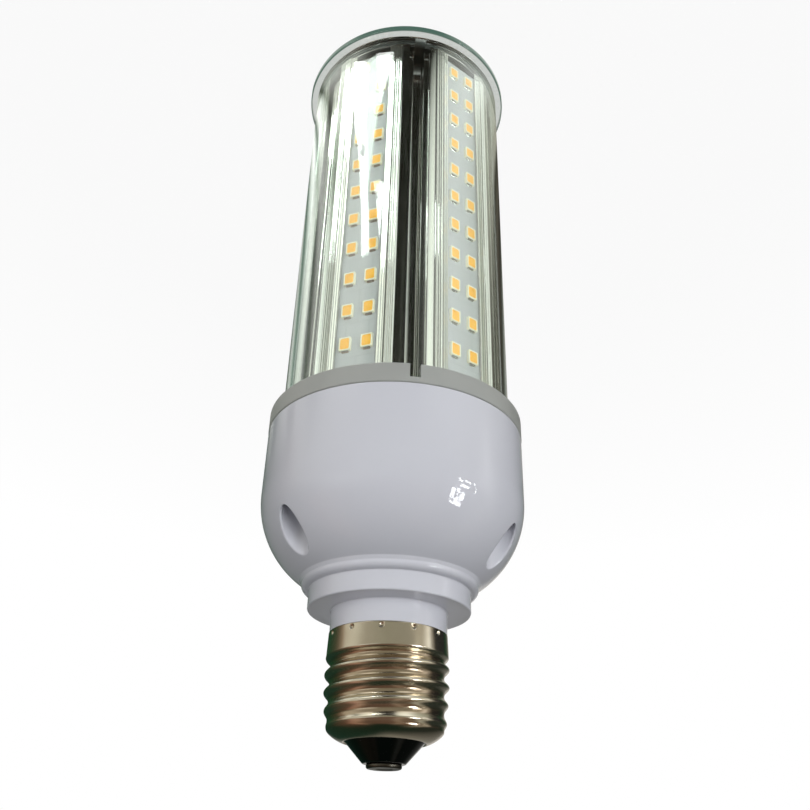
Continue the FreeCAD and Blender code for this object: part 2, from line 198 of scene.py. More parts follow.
@dataclass
class Skin:
    """Points with the faces between them, and the number of the material of each face."""

    points: Array
    corners: Array
    counts: Array
    finish: Array

    @classmethod
    def of(cls, points: Array, faces: list[Array], finishes: list[int] | None = None) -> "Skin":
        """Collects faces of one corner count each, with one finish number for each group."""
        numbers = finishes or [0] * len(faces)
        corners = np.concatenate([group.ravel() for group in faces])
        counts = np.concatenate([np.full(len(group), group.shape[1]) for group in faces])
        finish = np.concatenate([np.full(len(group), number) for group, number in zip(faces, numbers)])
        return cls(points, corners, counts, finish)

    @classmethod
    def sheet(cls, grid: Array, ends: bool = False, ring: bool = False) -> "Skin":
        """Puts faces on a grid of points whose columns close.

        Args:
            grid: Points of shape (rows, columns, 3).
            ends: Whether one face each closes the first and the last row.
            ring: Whether the last row joins the first.

        Returns:
            The skin.
        """
        rows, columns = grid.shape[:2]
        faces = [sheet_faces(rows, columns, ring)] + (end_faces(rows, columns) if ends else [])
        return cls.of(grid.reshape(-1, 3), faces)

    @classmethod
    def joined(cls, skins: list["Skin"]) -> "Skin":
        """Puts several skins into one, with each one's point numbers moved past those before it."""
        sizes = np.array([len(skin.points) for skin in skins])
        offsets = np.cumsum(sizes) - sizes
        return cls(
            np.concatenate([skin.points for skin in skins]),
            np.concatenate([skin.corners + offset for skin, offset in zip(skins, offsets)]),
            np.concatenate([skin.counts for skin in skins]),
            np.concatenate([skin.finish for skin in skins]),
        )

    def repeated(self, places: Array) -> "Skin":
        """A copy at each place: all points plus all places, as one sum over both."""
        number, size = len(places), len(self.points)
        points = (places[:, None, :] + self.points[None]).reshape(-1, 3)
        corners = (np.arange(number)[:, None] * size + self.corners[None]).ravel()
        return Skin(points, corners, np.tile(self.counts, number), np.tile(self.finish, number))

    def reversed(self) -> "Skin":
        """The same faces seen from the other side: every list of the faces in reverse order."""
        return Skin(self.points, self.corners[::-1], self.counts[::-1], self.finish[::-1])

    def turned_about_z(self, angle: float) -> "Skin":
        """The same skin turned about the bulb's axis."""
        x, y, z = self.points.T
        return replace(self, points=np.stack([*spun(x, y, angle), z], axis=1))

    def mesh(self, name: str, sharp: float = 35.0) -> bpy.types.Mesh:
        """Puts the arrays into a mesh, smooth but for edges steeper than the angle.

        Args:
            name: The mesh's name.
            sharp: Angle in degrees over which an edge stays crisp.

        Returns:
            The mesh, in metres.
        """
        mesh = bpy.data.meshes.new(name)
        mesh.vertices.add(len(self.points))
        mesh.vertices.foreach_set("co", (self.points * MM).astype(np.float32).ravel())
        mesh.loops.add(len(self.corners))
        mesh.polygons.add(len(self.counts))
        starts = np.cumsum(self.counts) - self.counts
        lists = {"loop_start": starts, "vertices": self.corners, "material_index": self.finish}
        for key, values in lists.items():
            mesh.polygons.foreach_set(key, values.astype(np.int32))
        mesh.update(calc_edges=True)
        mesh.validate()
        mesh.shade_smooth()
        mesh.set_sharp_from_angle(angle=math.radians(sharp))
        return mesh


def turned(outline: Array, columns: int, ring: bool = False) -> Skin:
    """Carries an outline round the axis.

    Args:
        outline: Points (r, z), up on the outside, so that faces point outwards.
        columns: Number of steps round the axis.
        ring: Whether the outline closes. The ends of an open one get one flat face each.

    Returns:
        A closed skin.
    """
    return Skin.sheet(polar(outline[:, :1], round_steps(columns), outline[:, 1:]), not ring, ring)


def lathe(table: Any, columns: int, ring: bool = False) -> Skin:
    """Rounds a table's corners, holds its long runs flat and turns it, as rounded and turned say."""
    return turned(held(rounded(table, ring), closed=ring), columns, ring)


def rod(radius: float, low: float, high: float, columns: int) -> Skin:
    """An upright cylinder on the axis."""
    return turned(np.array([(radius, low), (radius, high)]), columns)


def prism(outline: Array, low: float, high: float) -> Skin:
    """Carries a counterclockwise outline (x, y) straight up from one height to another, ends closed."""
    return Skin.sheet(np.stack([at_height(outline, low), at_height(outline, high)]), ends=True)


def oblong(half_x: Any, half_y: Any, radius: Any, steps: int) -> Array:
    """Rounded rectangles: corner centre + radius (cos, sin) over a quarter turn at each corner.

    Args:
        half_x: Half width, or one for each rectangle.
        half_y: Half length, or one for each rectangle.
        radius: Corner radius, or one for each rectangle.
        steps: Steps over each quarter turn.

    Returns:
        Points (x, y) counterclockwise, 4 * (steps + 1) for each rectangle.
    """
    quarter = np.repeat(np.arange(4), steps + 1)
    angle = (quarter + np.tile(np.arange(steps + 1) / steps, 4)) * math.pi / 2
    half_x, half_y, radius = (np.asarray(value)[..., None] for value in (half_x, half_y, radius))
    x = (half_x - radius) * np.array([1, -1, -1, 1])[quarter] + radius * np.cos(angle)
    y = (half_y - radius) * np.array([1, 1, -1, -1])[quarter] + radius * np.sin(angle)
    return np.stack([x, y], axis=-1)


def set_in(angle: float, points: Array) -> Array:
    """Maps board coordinates (across, along, out) to the bulb, out and across turned to the side."""
    across, along, out = points.T
    return np.stack([*spun(out, across, angle), along], axis=1)


# Shader groups and finishes


class Tree:
    """Places nodes in one node tree and links them."""

    def __init__(self, tree: bpy.types.NodeTree) -> None:
        """Keeps the tree."""
        self.tree = tree

    def feed(self, node: bpy.types.Node, values: dict[Any, Any]) -> bpy.types.Node:
        """Fills a node's inputs.

        Args:
            node: The node.
            values: Input name or number to a value, or to a socket that it is linked from. A colour gets
                full opacity.

        Returns:
            The node.
        """
        for key, value in values.items():
            if isinstance(value, Socket):
                self.tree.links.new(value, node.inputs[key])
            else:
                node.inputs[key].default_value = (*value, 1.0) if isinstance(value, tuple) else value
        return node

    def node(self, kind: str, values: dict[Any, Any] | None = None, **settings: Any) -> bpy.types.Node:
        """Adds one node of Blender's kind, with its own settings and its inputs' values."""
        made = self.tree.nodes.new(kind)
        for key, value in settings.items():
            setattr(made, key, value)
        return self.feed(made, values or {})

    def math(self, operation: str, first: Any, second: Any = 0.0) -> Socket:
        """Adds a math node and gives its result."""
        return self.node("ShaderNodeMath", {0: first, 1: second}, operation=operation).outputs[0]

    def mix(self, share: Any, first: Any, second: Any) -> Socket:
        """Mixes two colours by a share and gives the result."""
        return self.node("ShaderNodeMix", {0: share, 6: first, 7: second}, data_type="RGBA").outputs[2]

    def span(self, value: Any, low: float, high: float, start: float = 0.0, end: float = 1.0) -> Socket:
        """Maps a value from start..end to low..high, held at both ends."""
        return self.node("ShaderNodeMapRange", {0: value, 1: start, 2: end, 3: low, 4: high}).outputs[0]

    def step(self, value: Any, start: float, end: float) -> Socket:
        """0 up to the start, 1 from the end on, and even between them."""
        return self.span(value, 0.0, 1.0, start, end)

    def noise(self, place: Any, scale: Any, detail: float) -> Socket:
        """A noise's value at a place."""
        values = {"Vector": place, "Scale": scale, "Detail": detail}
        return self.node("ShaderNodeTexNoise", values).outputs[0]

    def either(self, share: Any, first: Socket, second: Socket) -> Socket:
        """Mixes two shaders by a share."""
        return self.node("ShaderNodeMixShader", {0: share, 1: first, 2: second}).outputs[0]

    def seen(self) -> Socket:
        """1 for rays from the camera and for those that gloss or clear plastic has turned."""
        path = self.node("ShaderNodeLightPath").outputs
        direct = self.math("MAXIMUM", path["Is Camera Ray"], path["Is Transmission Ray"])
        return self.math("MAXIMUM", direct, path["Is Glossy Ray"])


def new_group(
    name: str, inputs: dict[str, float], outputs: list[str]
) -> tuple[Tree, Any, bpy.types.Node]:
    """Makes an empty shader group.

    Args:
        name: The group's name.
        inputs: Name and default of each number that it takes after its vector.
        outputs: Name of each number that it gives.

    Returns:
        The tree, the inputs' sockets inside it, and the node that takes the outputs.
    """
    group = bpy.data.node_groups.new(name, "ShaderNodeTree")
    group.interface.new_socket("Vector", in_out="INPUT", socket_type="NodeSocketVector")
    for key, default in inputs.items():
        socket = group.interface.new_socket(key, in_out="INPUT", socket_type="NodeSocketFloat")
        socket.default_value = default
    for key in outputs:
        group.interface.new_socket(key, in_out="OUTPUT", socket_type="NodeSocketFloat")
    tree = Tree(group)
    return tree, tree.node("NodeGroupInput").outputs, tree.node("NodeGroupOutput")


def mottle_group() -> bpy.types.NodeTree:
    """Slow blotches and fine grain: a noise at the scale and one at twelve times it, added by shares."""
    inputs = {"Scale": 60.0, "Low": 0.2, "High": 0.4}
    tree, given, taken = new_group("handling_mottle", inputs, ["Mask", "Value", "Grain"])
    slow = tree.noise(given["Vector"], given["Scale"], 3.0)
    grain = tree.noise(given["Vector"], tree.math("MULTIPLY", given["Scale"], 12.0), 2.0)
    mask = tree.step(slow, 0.35, 0.65)
    blend = tree.math("ADD", tree.math("MULTIPLY", mask, 0.7), tree.math("MULTIPLY", grain, 0.3))
    width = tree.math("SUBTRACT", given["High"], given["Low"])
    value = tree.math("ADD", given["Low"], tree.math("MULTIPLY", blend, width))
    tree.feed(taken, {"Mask": mask, "Value": value, "Grain": grain})
    return tree.tree


def drawn_group() -> bpy.types.NodeTree:
    """Fine lines along Z from drawing or extruding: noise on coordinates whose Z is shrunk."""
    inputs = {"Fineness": 2200.0, "Shrink": 0.006}
    tree, given, taken = new_group("drawn_lines", inputs, ["Lines", "Bands"])
    parts = tree.node("ShaderNodeSeparateXYZ", {0: given["Vector"]}).outputs
    low = tree.math("MULTIPLY", parts[2], given["Shrink"])
    flat = tree.node("ShaderNodeCombineXYZ", {0: parts[0], 1: parts[1], 2: low}).outputs[0]
    lines = tree.noise(flat, given["Fineness"], 2.0)
    bands = tree.noise(flat, tree.math("MULTIPLY", given["Fineness"], 0.2), 1.0)
    tree.feed(taken, {"Lines": lines, "Bands": tree.step(bands, 0.3, 0.7)})
    return tree.tree


MOTTLE = mottle_group()
DRAWN = drawn_group()


class MaterialTree(Tree):
    """The tree of a new material, with what several finishes share."""

    def __init__(self, name: str) -> None:
        """Makes a material with only its output and the object coordinates."""
        self.material = bpy.data.materials.new(name)
        self.material.use_nodes = True
        super().__init__(self.material.node_tree)
        self.tree.nodes.clear()
        self.output = self.node("ShaderNodeOutputMaterial")
        self.place = self.node("ShaderNodeTexCoord").outputs["Object"]

    def away(self) -> Socket:
        """Distance from the object's origin."""
        return self.node("ShaderNodeVectorMath", {0: self.place}, operation="LENGTH").outputs["Value"]

    def mottle(self, scale: float, low: float, high: float) -> Any:
        """The outputs of the mottle at a scale, with its value between two ends."""
        values = {"Vector": self.place, "Scale": scale, "Low": low, "High": high}
        return self.node("ShaderNodeGroup", values, node_tree=MOTTLE).outputs

    def bump(self, strength: float, distance: float, height: Socket) -> Socket:
        """The normal of a fine bump."""
        values = {"Strength": strength, "Distance": distance, "Height": height}
        return self.node("ShaderNodeBump", values).outputs[0]

    def principled(self, values: dict[str, Any]) -> Socket:
        """A principled shader with these inputs."""
        return self.node("ShaderNodeBsdfPrincipled", values).outputs[0]

    def done(self, surface: Socket) -> bpy.types.Material:
        """Links the surface and gives the material."""
        self.feed(self.output, {"Surface": surface})
        return self.material


@dataclass(frozen=True)
class Moulded:
    """A mottled finish for plastics, paint, glassy parts and plain metal."""

    name: str
    colour: Triple
    second: Triple
    rough: tuple[float, float] = (0.3, 0.4)
    scale: float = 60.0
    bump: float = 0.02
    metallic: float = 0.0

    def material(self) -> bpy.types.Material:
        """Two near colours and a roughness, both by the mottle, with its grain as fine bump."""
        tree = MaterialTree(self.name)
        mottle = tree.mottle(self.scale, *self.rough)
        shader = {
            "Base Color": tree.mix(mottle["Mask"], self.colour, self.second),
            "Roughness": mottle["Value"],
            "Metallic": self.metallic,
            "Normal": tree.bump(self.bump, 0.0002, mottle["Grain"]),
        }
        return tree.done(tree.principled(shader))


@dataclass(frozen=True)
class Extruded:
    """Plain extruded aluminium with drawn lines along the bulb."""

    name: str = "extruded_aluminium_satin"
    colour: Triple = (0.88, 0.87, 0.845)
    dark: Triple = (0.80, 0.79, 0.76)

    def material(self) -> bpy.types.Material:
        """Lines and bands change the colour a little and the roughness, and the lines are bump too."""
        tree = MaterialTree(self.name)
        values = {"Vector": tree.place, "Fineness": 2600.0, "Shrink": 0.0008}
        drawn = tree.node("ShaderNodeGroup", values, node_tree=DRAWN).outputs
        smooth = tree.span(drawn["Lines"], 0.05, 0.10, 0.3, 0.7)
        share = tree.math("MULTIPLY", drawn["Bands"], tree.span(drawn["Lines"], 0.4, 1.0, 0.3, 0.7))
        shader = {
            "Base Color": tree.mix(share, self.colour, self.dark),
            "Roughness": tree.math("ADD", smooth, tree.mottle(90.0, 0.0, 0.04)["Value"]),
            "Metallic": 1.0,
            "Normal": tree.bump(0.03, 0.00004, drawn["Lines"]),
        }
        return tree.done(tree.principled(shader))


@dataclass(frozen=True)
class Plated:
    """Nickel plate on rolled sheet, browner in the thread's roots. The crest attribute is 1 on crests."""

    name: str = "nickel_plate_warm"
    colour: Triple = (0.68, 0.64, 0.53)
    root: Triple = (0.46, 0.38, 0.28)

    def material(self) -> bpy.types.Material:
        """The crest height mixes the two colours, and the mottle sets the roughness and a faint bump."""
        tree = MaterialTree(self.name)
        mottle = tree.mottle(110.0, 0.15, 0.24)
        height = tree.node("ShaderNodeAttribute", attribute_name="crest").outputs["Fac"]
        tinted = tree.mix(tree.math("MULTIPLY", mottle["Mask"], 0.35), self.colour, self.root)
        shader = {
            "Base Color": tree.mix(tree.step(height, 0.0, 0.45), self.root, tinted),
            "Roughness": mottle["Value"],
            "Metallic": 1.0,
            "Normal": tree.bump(0.05, 0.0001, mottle["Grain"]),
        }
        return tree.done(tree.principled(shader))


@dataclass(frozen=True)
class Clear:
    """Clear moulded plastic that lets lamps through and is green along its edges.

    Where an edge distance in metres is given, a painted shade lies beyond it: a dark green tint that
    stands in for the dark surroundings seen through the rim.
    """

    name: str = "clear_plastic_green_edge"
    tint: Triple = (0.97, 0.99, 0.98)
    depth: Triple = (0.28, 0.62, 0.46)
    density: float = 65.0
    edge: float = 0.0
    painted_edge_shade: Triple = (0.008, 0.028, 0.018)

    def material(self) -> bpy.types.Material:
        """Shadow rays meet a tinted transparent shader, others a glassy one with an absorbing body."""
        tree = MaterialTree(self.name)
        tint = self.tint
        # Painted shade: beyond the edge distance the base colour turns dark green, as a dark rim.
        if self.edge:
            outside = tree.step(tree.away(), self.edge, self.edge + 0.0002)
            tint = tree.mix(outside, self.tint, self.painted_edge_shade)
        shader = {
            "Base Color": tint,
            "Roughness": tree.mottle(25.0, 0.0, 0.035)["Value"],
            "IOR": 1.49,
            "Transmission Weight": 1.0,
        }
        through = tree.node("ShaderNodeBsdfTransparent", {0: (0.94, 0.96, 0.95)}).outputs[0]
        shadow = tree.node("ShaderNodeLightPath").outputs["Is Shadow Ray"]
        body = tree.node("ShaderNodeVolumeAbsorption", {0: self.depth, 1: self.density}).outputs[0]
        tree.feed(tree.output, {"Volume": body})
        return tree.done(tree.either(shadow, tree.principled(shader), through))


@dataclass(frozen=True)
class BoardMask:
    """White solder mask over copper. The UV map is in units of the board's width."""

    name: str = "white_solder_mask"
    colour: Triple = (0.435, 0.43, 0.43)
    gap: Triple = (0.405, 0.40, 0.40)

    def material(self) -> bpy.types.Material:
        """Copper areas show as faint raised fields with narrow gaps, from bricks on the UV map."""
        tree = MaterialTree(self.name)
        bricks = {
            "Vector": tree.node("ShaderNodeUVMap", uv_map="board").outputs[0], "Scale": 1.0,
            "Mortar Size": 0.018, "Mortar Smooth": 0.3, "Brick Width": 0.52, "Row Height": 0.857,
        }
        fields = tree.node("ShaderNodeTexBrick", bricks, offset=0.5)
        share = tree.math("SUBTRACT", 1.0, fields.outputs["Fac"])
        shader = {
            "Base Color": tree.mix(share, self.gap, self.colour),
            "Roughness": tree.mottle(150.0, 0.28, 0.42)["Value"],
            "Normal": tree.bump(0.3, 0.00005, share),
        }
        return tree.done(tree.principled(shader))


@lru_cache(maxsize=None)
def made_of(finish: Any) -> bpy.types.Material:
    """The material of a finish, made the first time that it is asked for."""
    return finish.material()


# The lid: the same clear plastic with a darkened tint and a dark green rim, painted shade for the shade
# seen through it.
CLEAR_LID = Clear("clear_lid_painted_shade", (0.45, 0.475, 0.445), (0.50, 0.56, 0.50), 60.0, 0.0293)
COLLAR_GREY = Moulded(
    "collar_satin_grey", (0.42, 0.43, 0.405), (0.45, 0.46, 0.43), (0.32, 0.44), 80.0, 0.10
)
HOUSING_WHITE = Moulded(
    "housing_gloss_white", (0.74, 0.745, 0.80), (0.76, 0.765, 0.815), (0.02, 0.055), 14.0, 0.012
)
GLASS_BLACK = Moulded(
    "insulator_gloss_black", (0.001, 0.001, 0.001), (0.002, 0.002, 0.002), (0.06, 0.14), 90.0, 0.03
)
# The contact: a dull plate whose metal colour is darkened further, painted shade for the dark
# surroundings that it reflects.
CONTACT_DULL_SHADED = Moulded(
    "contact_dull_plate_painted_shade", (0.13, 0.125, 0.105), (0.06, 0.06, 0.05), (0.28, 0.5), 220.0, 0.15, 1.0
)
LED_FINISHES = [
    Moulded("led_frame_cream", (0.80, 0.76, 0.60), (0.76, 0.71, 0.54), (0.38, 0.5), 300.0, 0.05),
    Moulded("led_filling_yellow", (0.90, 0.42, 0.03), (0.93, 0.47, 0.055), (0.25, 0.4), 500.0, 0.08),
    Moulded("solder_bright", (0.80, 0.80, 0.78), (0.62, 0.61, 0.58), (0.12, 0.3), 600.0, 0.1, 1.0),
]

HIDDEN = [
    (("heat_sink_screws", "housing_screws"),
     Moulded("screw_zinc", (0.60, 0.60, 0.61), (0.50, 0.51, 0.53), (0.2, 0.35), 400.0, 0.05, 1.0)),
    (("driver_board",),
     Moulded("driver_laminate_green", (0.05, 0.20, 0.09), (0.04, 0.16, 0.07), (0.3, 0.45), 120.0)),
    (("transformer_core",),
     Moulded("ferrite_dark", (0.045, 0.045, 0.05), (0.06, 0.06, 0.065), (0.5, 0.7), 200.0, 0.2)),
    (("transformer_winding",),
     Moulded("winding_tape_yellow", (0.70, 0.48, 0.05), (0.62, 0.40, 0.04), (0.3, 0.4), 90.0)),
    (("input_capacitor", "output_capacitor", "line_inductor"),
     Moulded("sleeve_dark", (0.02, 0.02, 0.03), (0.03, 0.03, 0.04), (0.25, 0.35), 150.0)),
    (("film_capacitor",),
     Moulded("film_box_red", (0.38, 0.05, 0.04), (0.33, 0.04, 0.03), (0.25, 0.4), 150.0)),
    (("bridge_rectifier", "switching_chip"),
     Moulded("chip_black", (0.02, 0.02, 0.02), (0.03, 0.03, 0.03), (0.5, 0.65), 400.0, 0.15)),
    (("fusible_resistor",),
     Moulded("resistor_grey_green", (0.16, 0.24, 0.20), (0.13, 0.20, 0.17), (0.4, 0.55), 300.0)),
    (("live_lead", "neutral_lead", "led_leads", "board_links"),
     Moulded("lead_tinned", (0.66, 0.62, 0.54), (0.55, 0.51, 0.44), (0.2, 0.35), 500.0, 0.05, 1.0)),
]


# Pieces


def add_piece(
    name: str, skin: Skin, *materials: bpy.types.Material, sharp: float = 35.0
) -> bpy.types.Object:
    """Links a new object with a skin's mesh and its materials, at the origin."""
    made = bpy.data.objects.new(name, skin.mesh(name, sharp))
    for material in materials:
        made.data.materials.append(material)
    bpy.context.scene.collection.objects.link(made)
    return made


def stand_for(made: bpy.types.Object, node: str) -> None:
    """Lets a piece ride on the bulb's body in place of its node."""
    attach(made, "root")
    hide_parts(node)
    LOG.info("%s: %d faces for %s", made.name, len(made.data.polygons), node)


def carve(made: bpy.types.Object, cutter: Any, join: bool = False, sharp: float = 35.0) -> None:
    """Takes a cutter's solid out of a piece, or joins it, and applies the result to the mesh.

    Args:
        made: The piece, a closed solid.
        cutter: A closed skin, several apart from each other, or an object, which is used up.
        join: Whether the solid is added instead.
        sharp: Angle in degrees over which an edge stays crisp.
    """
    tool = add_piece("cutter", cutter) if isinstance(cutter, Skin) else cutter
    step = made.modifiers.new("carve", "BOOLEAN")
    step.object = tool
    step.operation = "UNION" if join else "DIFFERENCE"
    step.solver = "EXACT"
    graph = bpy.context.evaluated_depsgraph_get()
    result = bpy.data.meshes.new_from_object(made.evaluated_get(graph))
    made.modifiers.clear()
    name, old = made.data.name, made.data
    made.data = result
    bpy.data.meshes.remove(old)
    result.name = name
    result.shade_smooth()
    result.set_sharp_from_angle(angle=math.radians(sharp))
    bpy.data.objects.remove(tool)


@dataclass
class ClearHead:
    """The clear tube and the flat lid that closes it at the head."""

    cover_radius: float = 27.7
    cover_bore: float = 26.5
    cover_low: float = 2.02
    cover_high: float = 117.08
    lid_radius: float = 29.7
    lid_high: float = 2.0
    ring_radius: float = 26.4
    ring_bore: float = 24.9
    ring_high: float = 3.6
    notch: float = 3.0
    columns: int = 256

    def cover(self) -> None:
        """A turned tube with slightly rounded ends."""
        bore, radius, low, high = self.cover_bore, self.cover_radius, self.cover_low, self.cover_high
        ends = ((bore, low), (radius, low), (radius, high), (bore, high))
        table = [(*end, 0.15, 3) for end in ends]
        made = add_piece("clear_tube", lathe(table, self.columns, ring=True), made_of(Clear()))
        stand_for(made, "clear_cover")

    def lid(self) -> None:
        """A turned disc with rounded edges and the locating ring, whose notch is carved."""
        high, ring_high = self.lid_high, self.ring_high
        table = [
            (0.4, 0.0, 0.0, 0), (self.lid_radius, 0.0, 0.5, 6), (self.lid_radius, high, 0.5, 6),
            (self.ring_radius, high, 0.15, 3), (self.ring_radius, ring_high, 0.25, 4),
            (self.ring_bore, ring_high, 0.25, 4), (self.ring_bore, high, 0.3, 4), (0.4, high, 0.0, 0),
        ]
        made = add_piece("clear_lid_flange", lathe(table, self.columns), made_of(CLEAR_LID))
        box = oblong(self.notch / 2, 1.2, 0.2, 3) - [0.0, (self.ring_radius + self.ring_bore) / 2]
        carve(made, prism(box, high + 0.02, ring_high + 0.5))
        stand_for(made, "clear_lid")


@dataclass
class HeatSink:
    """The extrusion with six seats, lips over the boards' edges, ridged lands and stepped grooves."""

    radius: float = 26.2
    seat: float = 23.3
    seat_half: float = 5.6
    lip_under: float = 24.4
    lip_tip: float = 5.0
    lip_top: float = 25.0
    lip_outer: float = 6.7
    groove_half: float = 2.95
    step: float = 23.6
    slot_half: float = 1.4
    slot_bottom: float = 19.6
    core: float = 21.0
    port: float = 3.1
    core_bottom: float = 17.9
    low: float = 3.9
    high: float = 117.1
    land_points: int = 90
    ridges: tuple[Triple, ...] = ((2.05, 0.50, 0.24), (2.85, 0.27, 0.15), (3.35, 0.22, 0.12))
    valley: float = 0.24

    def land(self) -> Array:
        """Half a land in board coordinates (across, out), from the lip to the groove.

        The radius over the arc is the plain radius less the valley plus one raised cosine for each
        ridge: height * (1 + cos(pi * distance / half width)) / 2 within the half width. A ridge is
        (place from the groove, half width, height).
        """
        first = math.asin((self.lip_outer + 0.1) / self.radius)
        last = SECTOR / 2 - math.asin(self.groove_half / self.radius)
        angle = np.linspace(first, last, self.land_points)
        along = (last - angle) * self.radius
        place, width, height = np.array(self.ridges).T
        near = np.clip(np.abs(along[:, None] - place) / width, 0, 1)
        reach = self.radius - self.valley + (height * (1 + np.cos(math.pi * near)) / 2).sum(axis=1)
        return np.stack([reach * np.sin(angle), reach * np.cos(angle)], axis=1)

    def half_sector(self) -> Array:
        """From the seat's middle over the lip and the land to the groove's middle, in (across, out)."""
        top, nick, tip, outer = self.lip_top, self.lip_top - 0.09, self.lip_tip, self.lip_outer
        lip = [
            (0.0, self.seat, 0.0, 0), (self.seat_half, self.seat, 0.12, 2),
            (self.seat_half, self.lip_under, 0.12, 2), (tip, self.lip_under, 0.1, 2), (tip, top, 0.2, 4),
            (5.62, top, 0.0, 0), (5.70, nick, 0.0, 0), (5.78, top, 0.0, 0), (6.22, top, 0.0, 0),
            (6.30, nick, 0.0, 0), (6.38, top, 0.0, 0), (outer, top, 0.15, 3),
            (outer + 0.05, 25.3, 0.0, 0),
        ]
        wall, step, slot = -self.groove_half, self.step, -self.slot_half
        groove = [
            (wall, self.radius - 0.3, 0.0, 0), (wall, step, 0.2, 3), (slot, step, 0.15, 4),
            (slot, self.slot_bottom, 0.3, 3), (0.0, self.slot_bottom, 0.0, 0),
        ]
        turned_groove = self.to_groove(rounded(groove, closed=False))
        return np.concatenate([rounded(lip, closed=False), self.land(), turned_groove])

    def build(self) -> None:
        """Six mirrored half sectors as one outline, the hollow core as another, both carried along Z."""
        half = self.half_sector()
        whole = held(np.concatenate([half[1:-1][::-1] * [-1, 1], half]), 0.08, closed=False)
        core_half = (self.core * math.sin(SECTOR / 2) - self.port) / math.cos(SECTOR / 2)
        port = self.to_groove(np.array([(-self.port, self.core_bottom), (self.port, self.core_bottom)]))
        core = [(-core_half, self.core), (core_half, self.core)]
        outside = self.round_axis(whole)
        inside = self.round_axis(np.concatenate([core, port]))
        count, hole = len(outside), len(inside)
        flat = np.concatenate([outside, inside])
        rings = [[Vector((x, y, 0)) for x, y in ring.tolist()] for ring in (outside, inside)]
        cap = np.array(tessellate_polygon(rings))
        a, b, c = flat[cap[:, 0]], flat[cap[:, 1]], flat[cap[:, 2]]
        area = (b[:, 0] - a[:, 0]) * (c[:, 1] - a[:, 1]) - (b[:, 1] - a[:, 1]) * (c[:, 0] - a[:, 0])
        cap = np.where((area > 0)[:, None], cap, cap[:, ::-1])
        outer, inner = sheet_faces(2, count), sheet_faces(2, hole)[:, ::-1]
        outer = np.where(outer >= count, outer + hole, outer)
        inner = np.where(inner >= hole, inner + count, inner) + count
        points = np.concatenate([at_height(flat, self.low), at_height(flat, self.high)])
        skin = Skin.of(points, [outer, inner, cap[:, ::-1], cap + count + hole])
        made = add_piece("heat_sink_profile", skin, made_of(Extruded()), sharp=40.0)
        stand_for(made, "heat_sink")

    @staticmethod
    def to_groove(points: Array) -> Array:
        """Turns (across, out) points about a groove's middle into those of the board before it."""
        out, across = spun(points[:, 1], points[:, 0], SECTOR / 2)
        return np.stack([across, out], axis=1)

    @staticmethod
    def round_axis(points: Array) -> Array:
        """Repeats (across, out) points on each of the six sides, in (x, y)."""
        turned_points = spun(points[:, 1], points[:, 0], SIDES[:, None])
        return np.stack(turned_points, axis=-1).reshape(-1, 2)


@dataclass
class LightEngine:
    """The six boards and their LED packages."""

    face: float = 24.3
    seat: float = 23.3
    width: float = 11.0
    low: float = 5.4
    high: float = 115.4
    first_row: float = 9.8
    pitch: float = 9.43
    rows: int = 11
    column: float = 2.65
    led_half: tuple[float, float] = (1.4, 1.75)
    led_height: float = 0.8

    def board(self, index: int) -> None:
        """A slab with rounded corners and a fine edge round, with a UV map in board widths."""
        length = self.high - self.low
        inset = np.array([0.06, 0.0, 0.0, 0.09])
        level = np.array([self.seat, self.seat + 0.06, self.face - 0.09, self.face])
        flat = oblong(self.width / 2 - inset, length / 2 - inset, 0.5 - inset, 5)
        across, along = flat.reshape(-1, 2).T
        out = np.repeat(level, flat.shape[1])
        points = np.stack([across, along + (self.low + self.high) / 2, out], axis=1)
        skin = Skin.sheet(points.reshape(4, -1, 3), ends=True).reversed()
        uv = np.stack([across, along], axis=1)[skin.corners] / self.width
        skin.points = set_in(SIDES[index - 1], points)
        made = add_piece(f"light_board_{index}", skin, made_of(BoardMask()))
        made.data.uv_layers.new(name="board").data.foreach_set("uv", uv.astype(np.float32).ravel())
        stand_for(made, f"led_board_{index}")

    def package(self) -> Skin:
        """One package at the origin in (across, along, out): frame, filling and two solder fillets."""
        half_x, half_y = self.led_half
        inset = np.array([0.0, 0.0, 0.06, 0.23, 0.30, 0.80])
        level = np.array([0.0, self.led_height - 0.07, self.led_height, self.led_height, 0.69, 0.74])
        radius = np.array([0.12, 0.12, 0.12, 0.28, 0.28, 0.2])
        flat = oblong(half_x - inset, half_y - inset, radius, 1)
        count = flat.shape[1]
        grid = np.concatenate([flat, np.broadcast_to(level[:, None, None], (6, count, 1))], axis=2)
        quads, split = sheet_faces(6, count), 4 * count
        faces = [quads[:split], quads[split:], *end_faces(6, count)]
        body = Skin.of(grid.reshape(-1, 3), faces, [0, 1, 0, 1])
        wedge = np.array(
            [(-0.02, 0.0), (0.42, 0.0), (0.42, 0.05), (0.16, 0.2), (0.0, 0.46), (-0.02, 0.46)]
        )
        across = np.repeat([-0.85, 0.85], len(wedge))
        along, out = np.tile(wedge + [half_y, 0.0], (2, 1)).T
        fillet = Skin.sheet(np.stack([across, along, out], axis=1).reshape(2, -1, 3), ends=True)
        fillet.finish += 2
        return Skin.joined([body, fillet, replace(fillet, points=fillet.points * [-1, -1, 1])])

    def packages(self, index: int) -> None:
        """All packages of one board as one piece."""
        row = self.first_row + self.pitch * np.repeat(np.arange(self.rows), 2)
        column = np.tile([-self.column, self.column], self.rows)
        places = np.stack([column, row, np.full(len(row), self.face)], axis=1)
        skin = self.package().repeated(places).reversed()
        skin.points = set_in(SIDES[index - 1], skin.points)
        made = add_piece(f"led_row_{index}", skin, *map(made_of, LED_FINISHES), sharp=50.0)
        stand_for(made, f"led_packages_{index}")


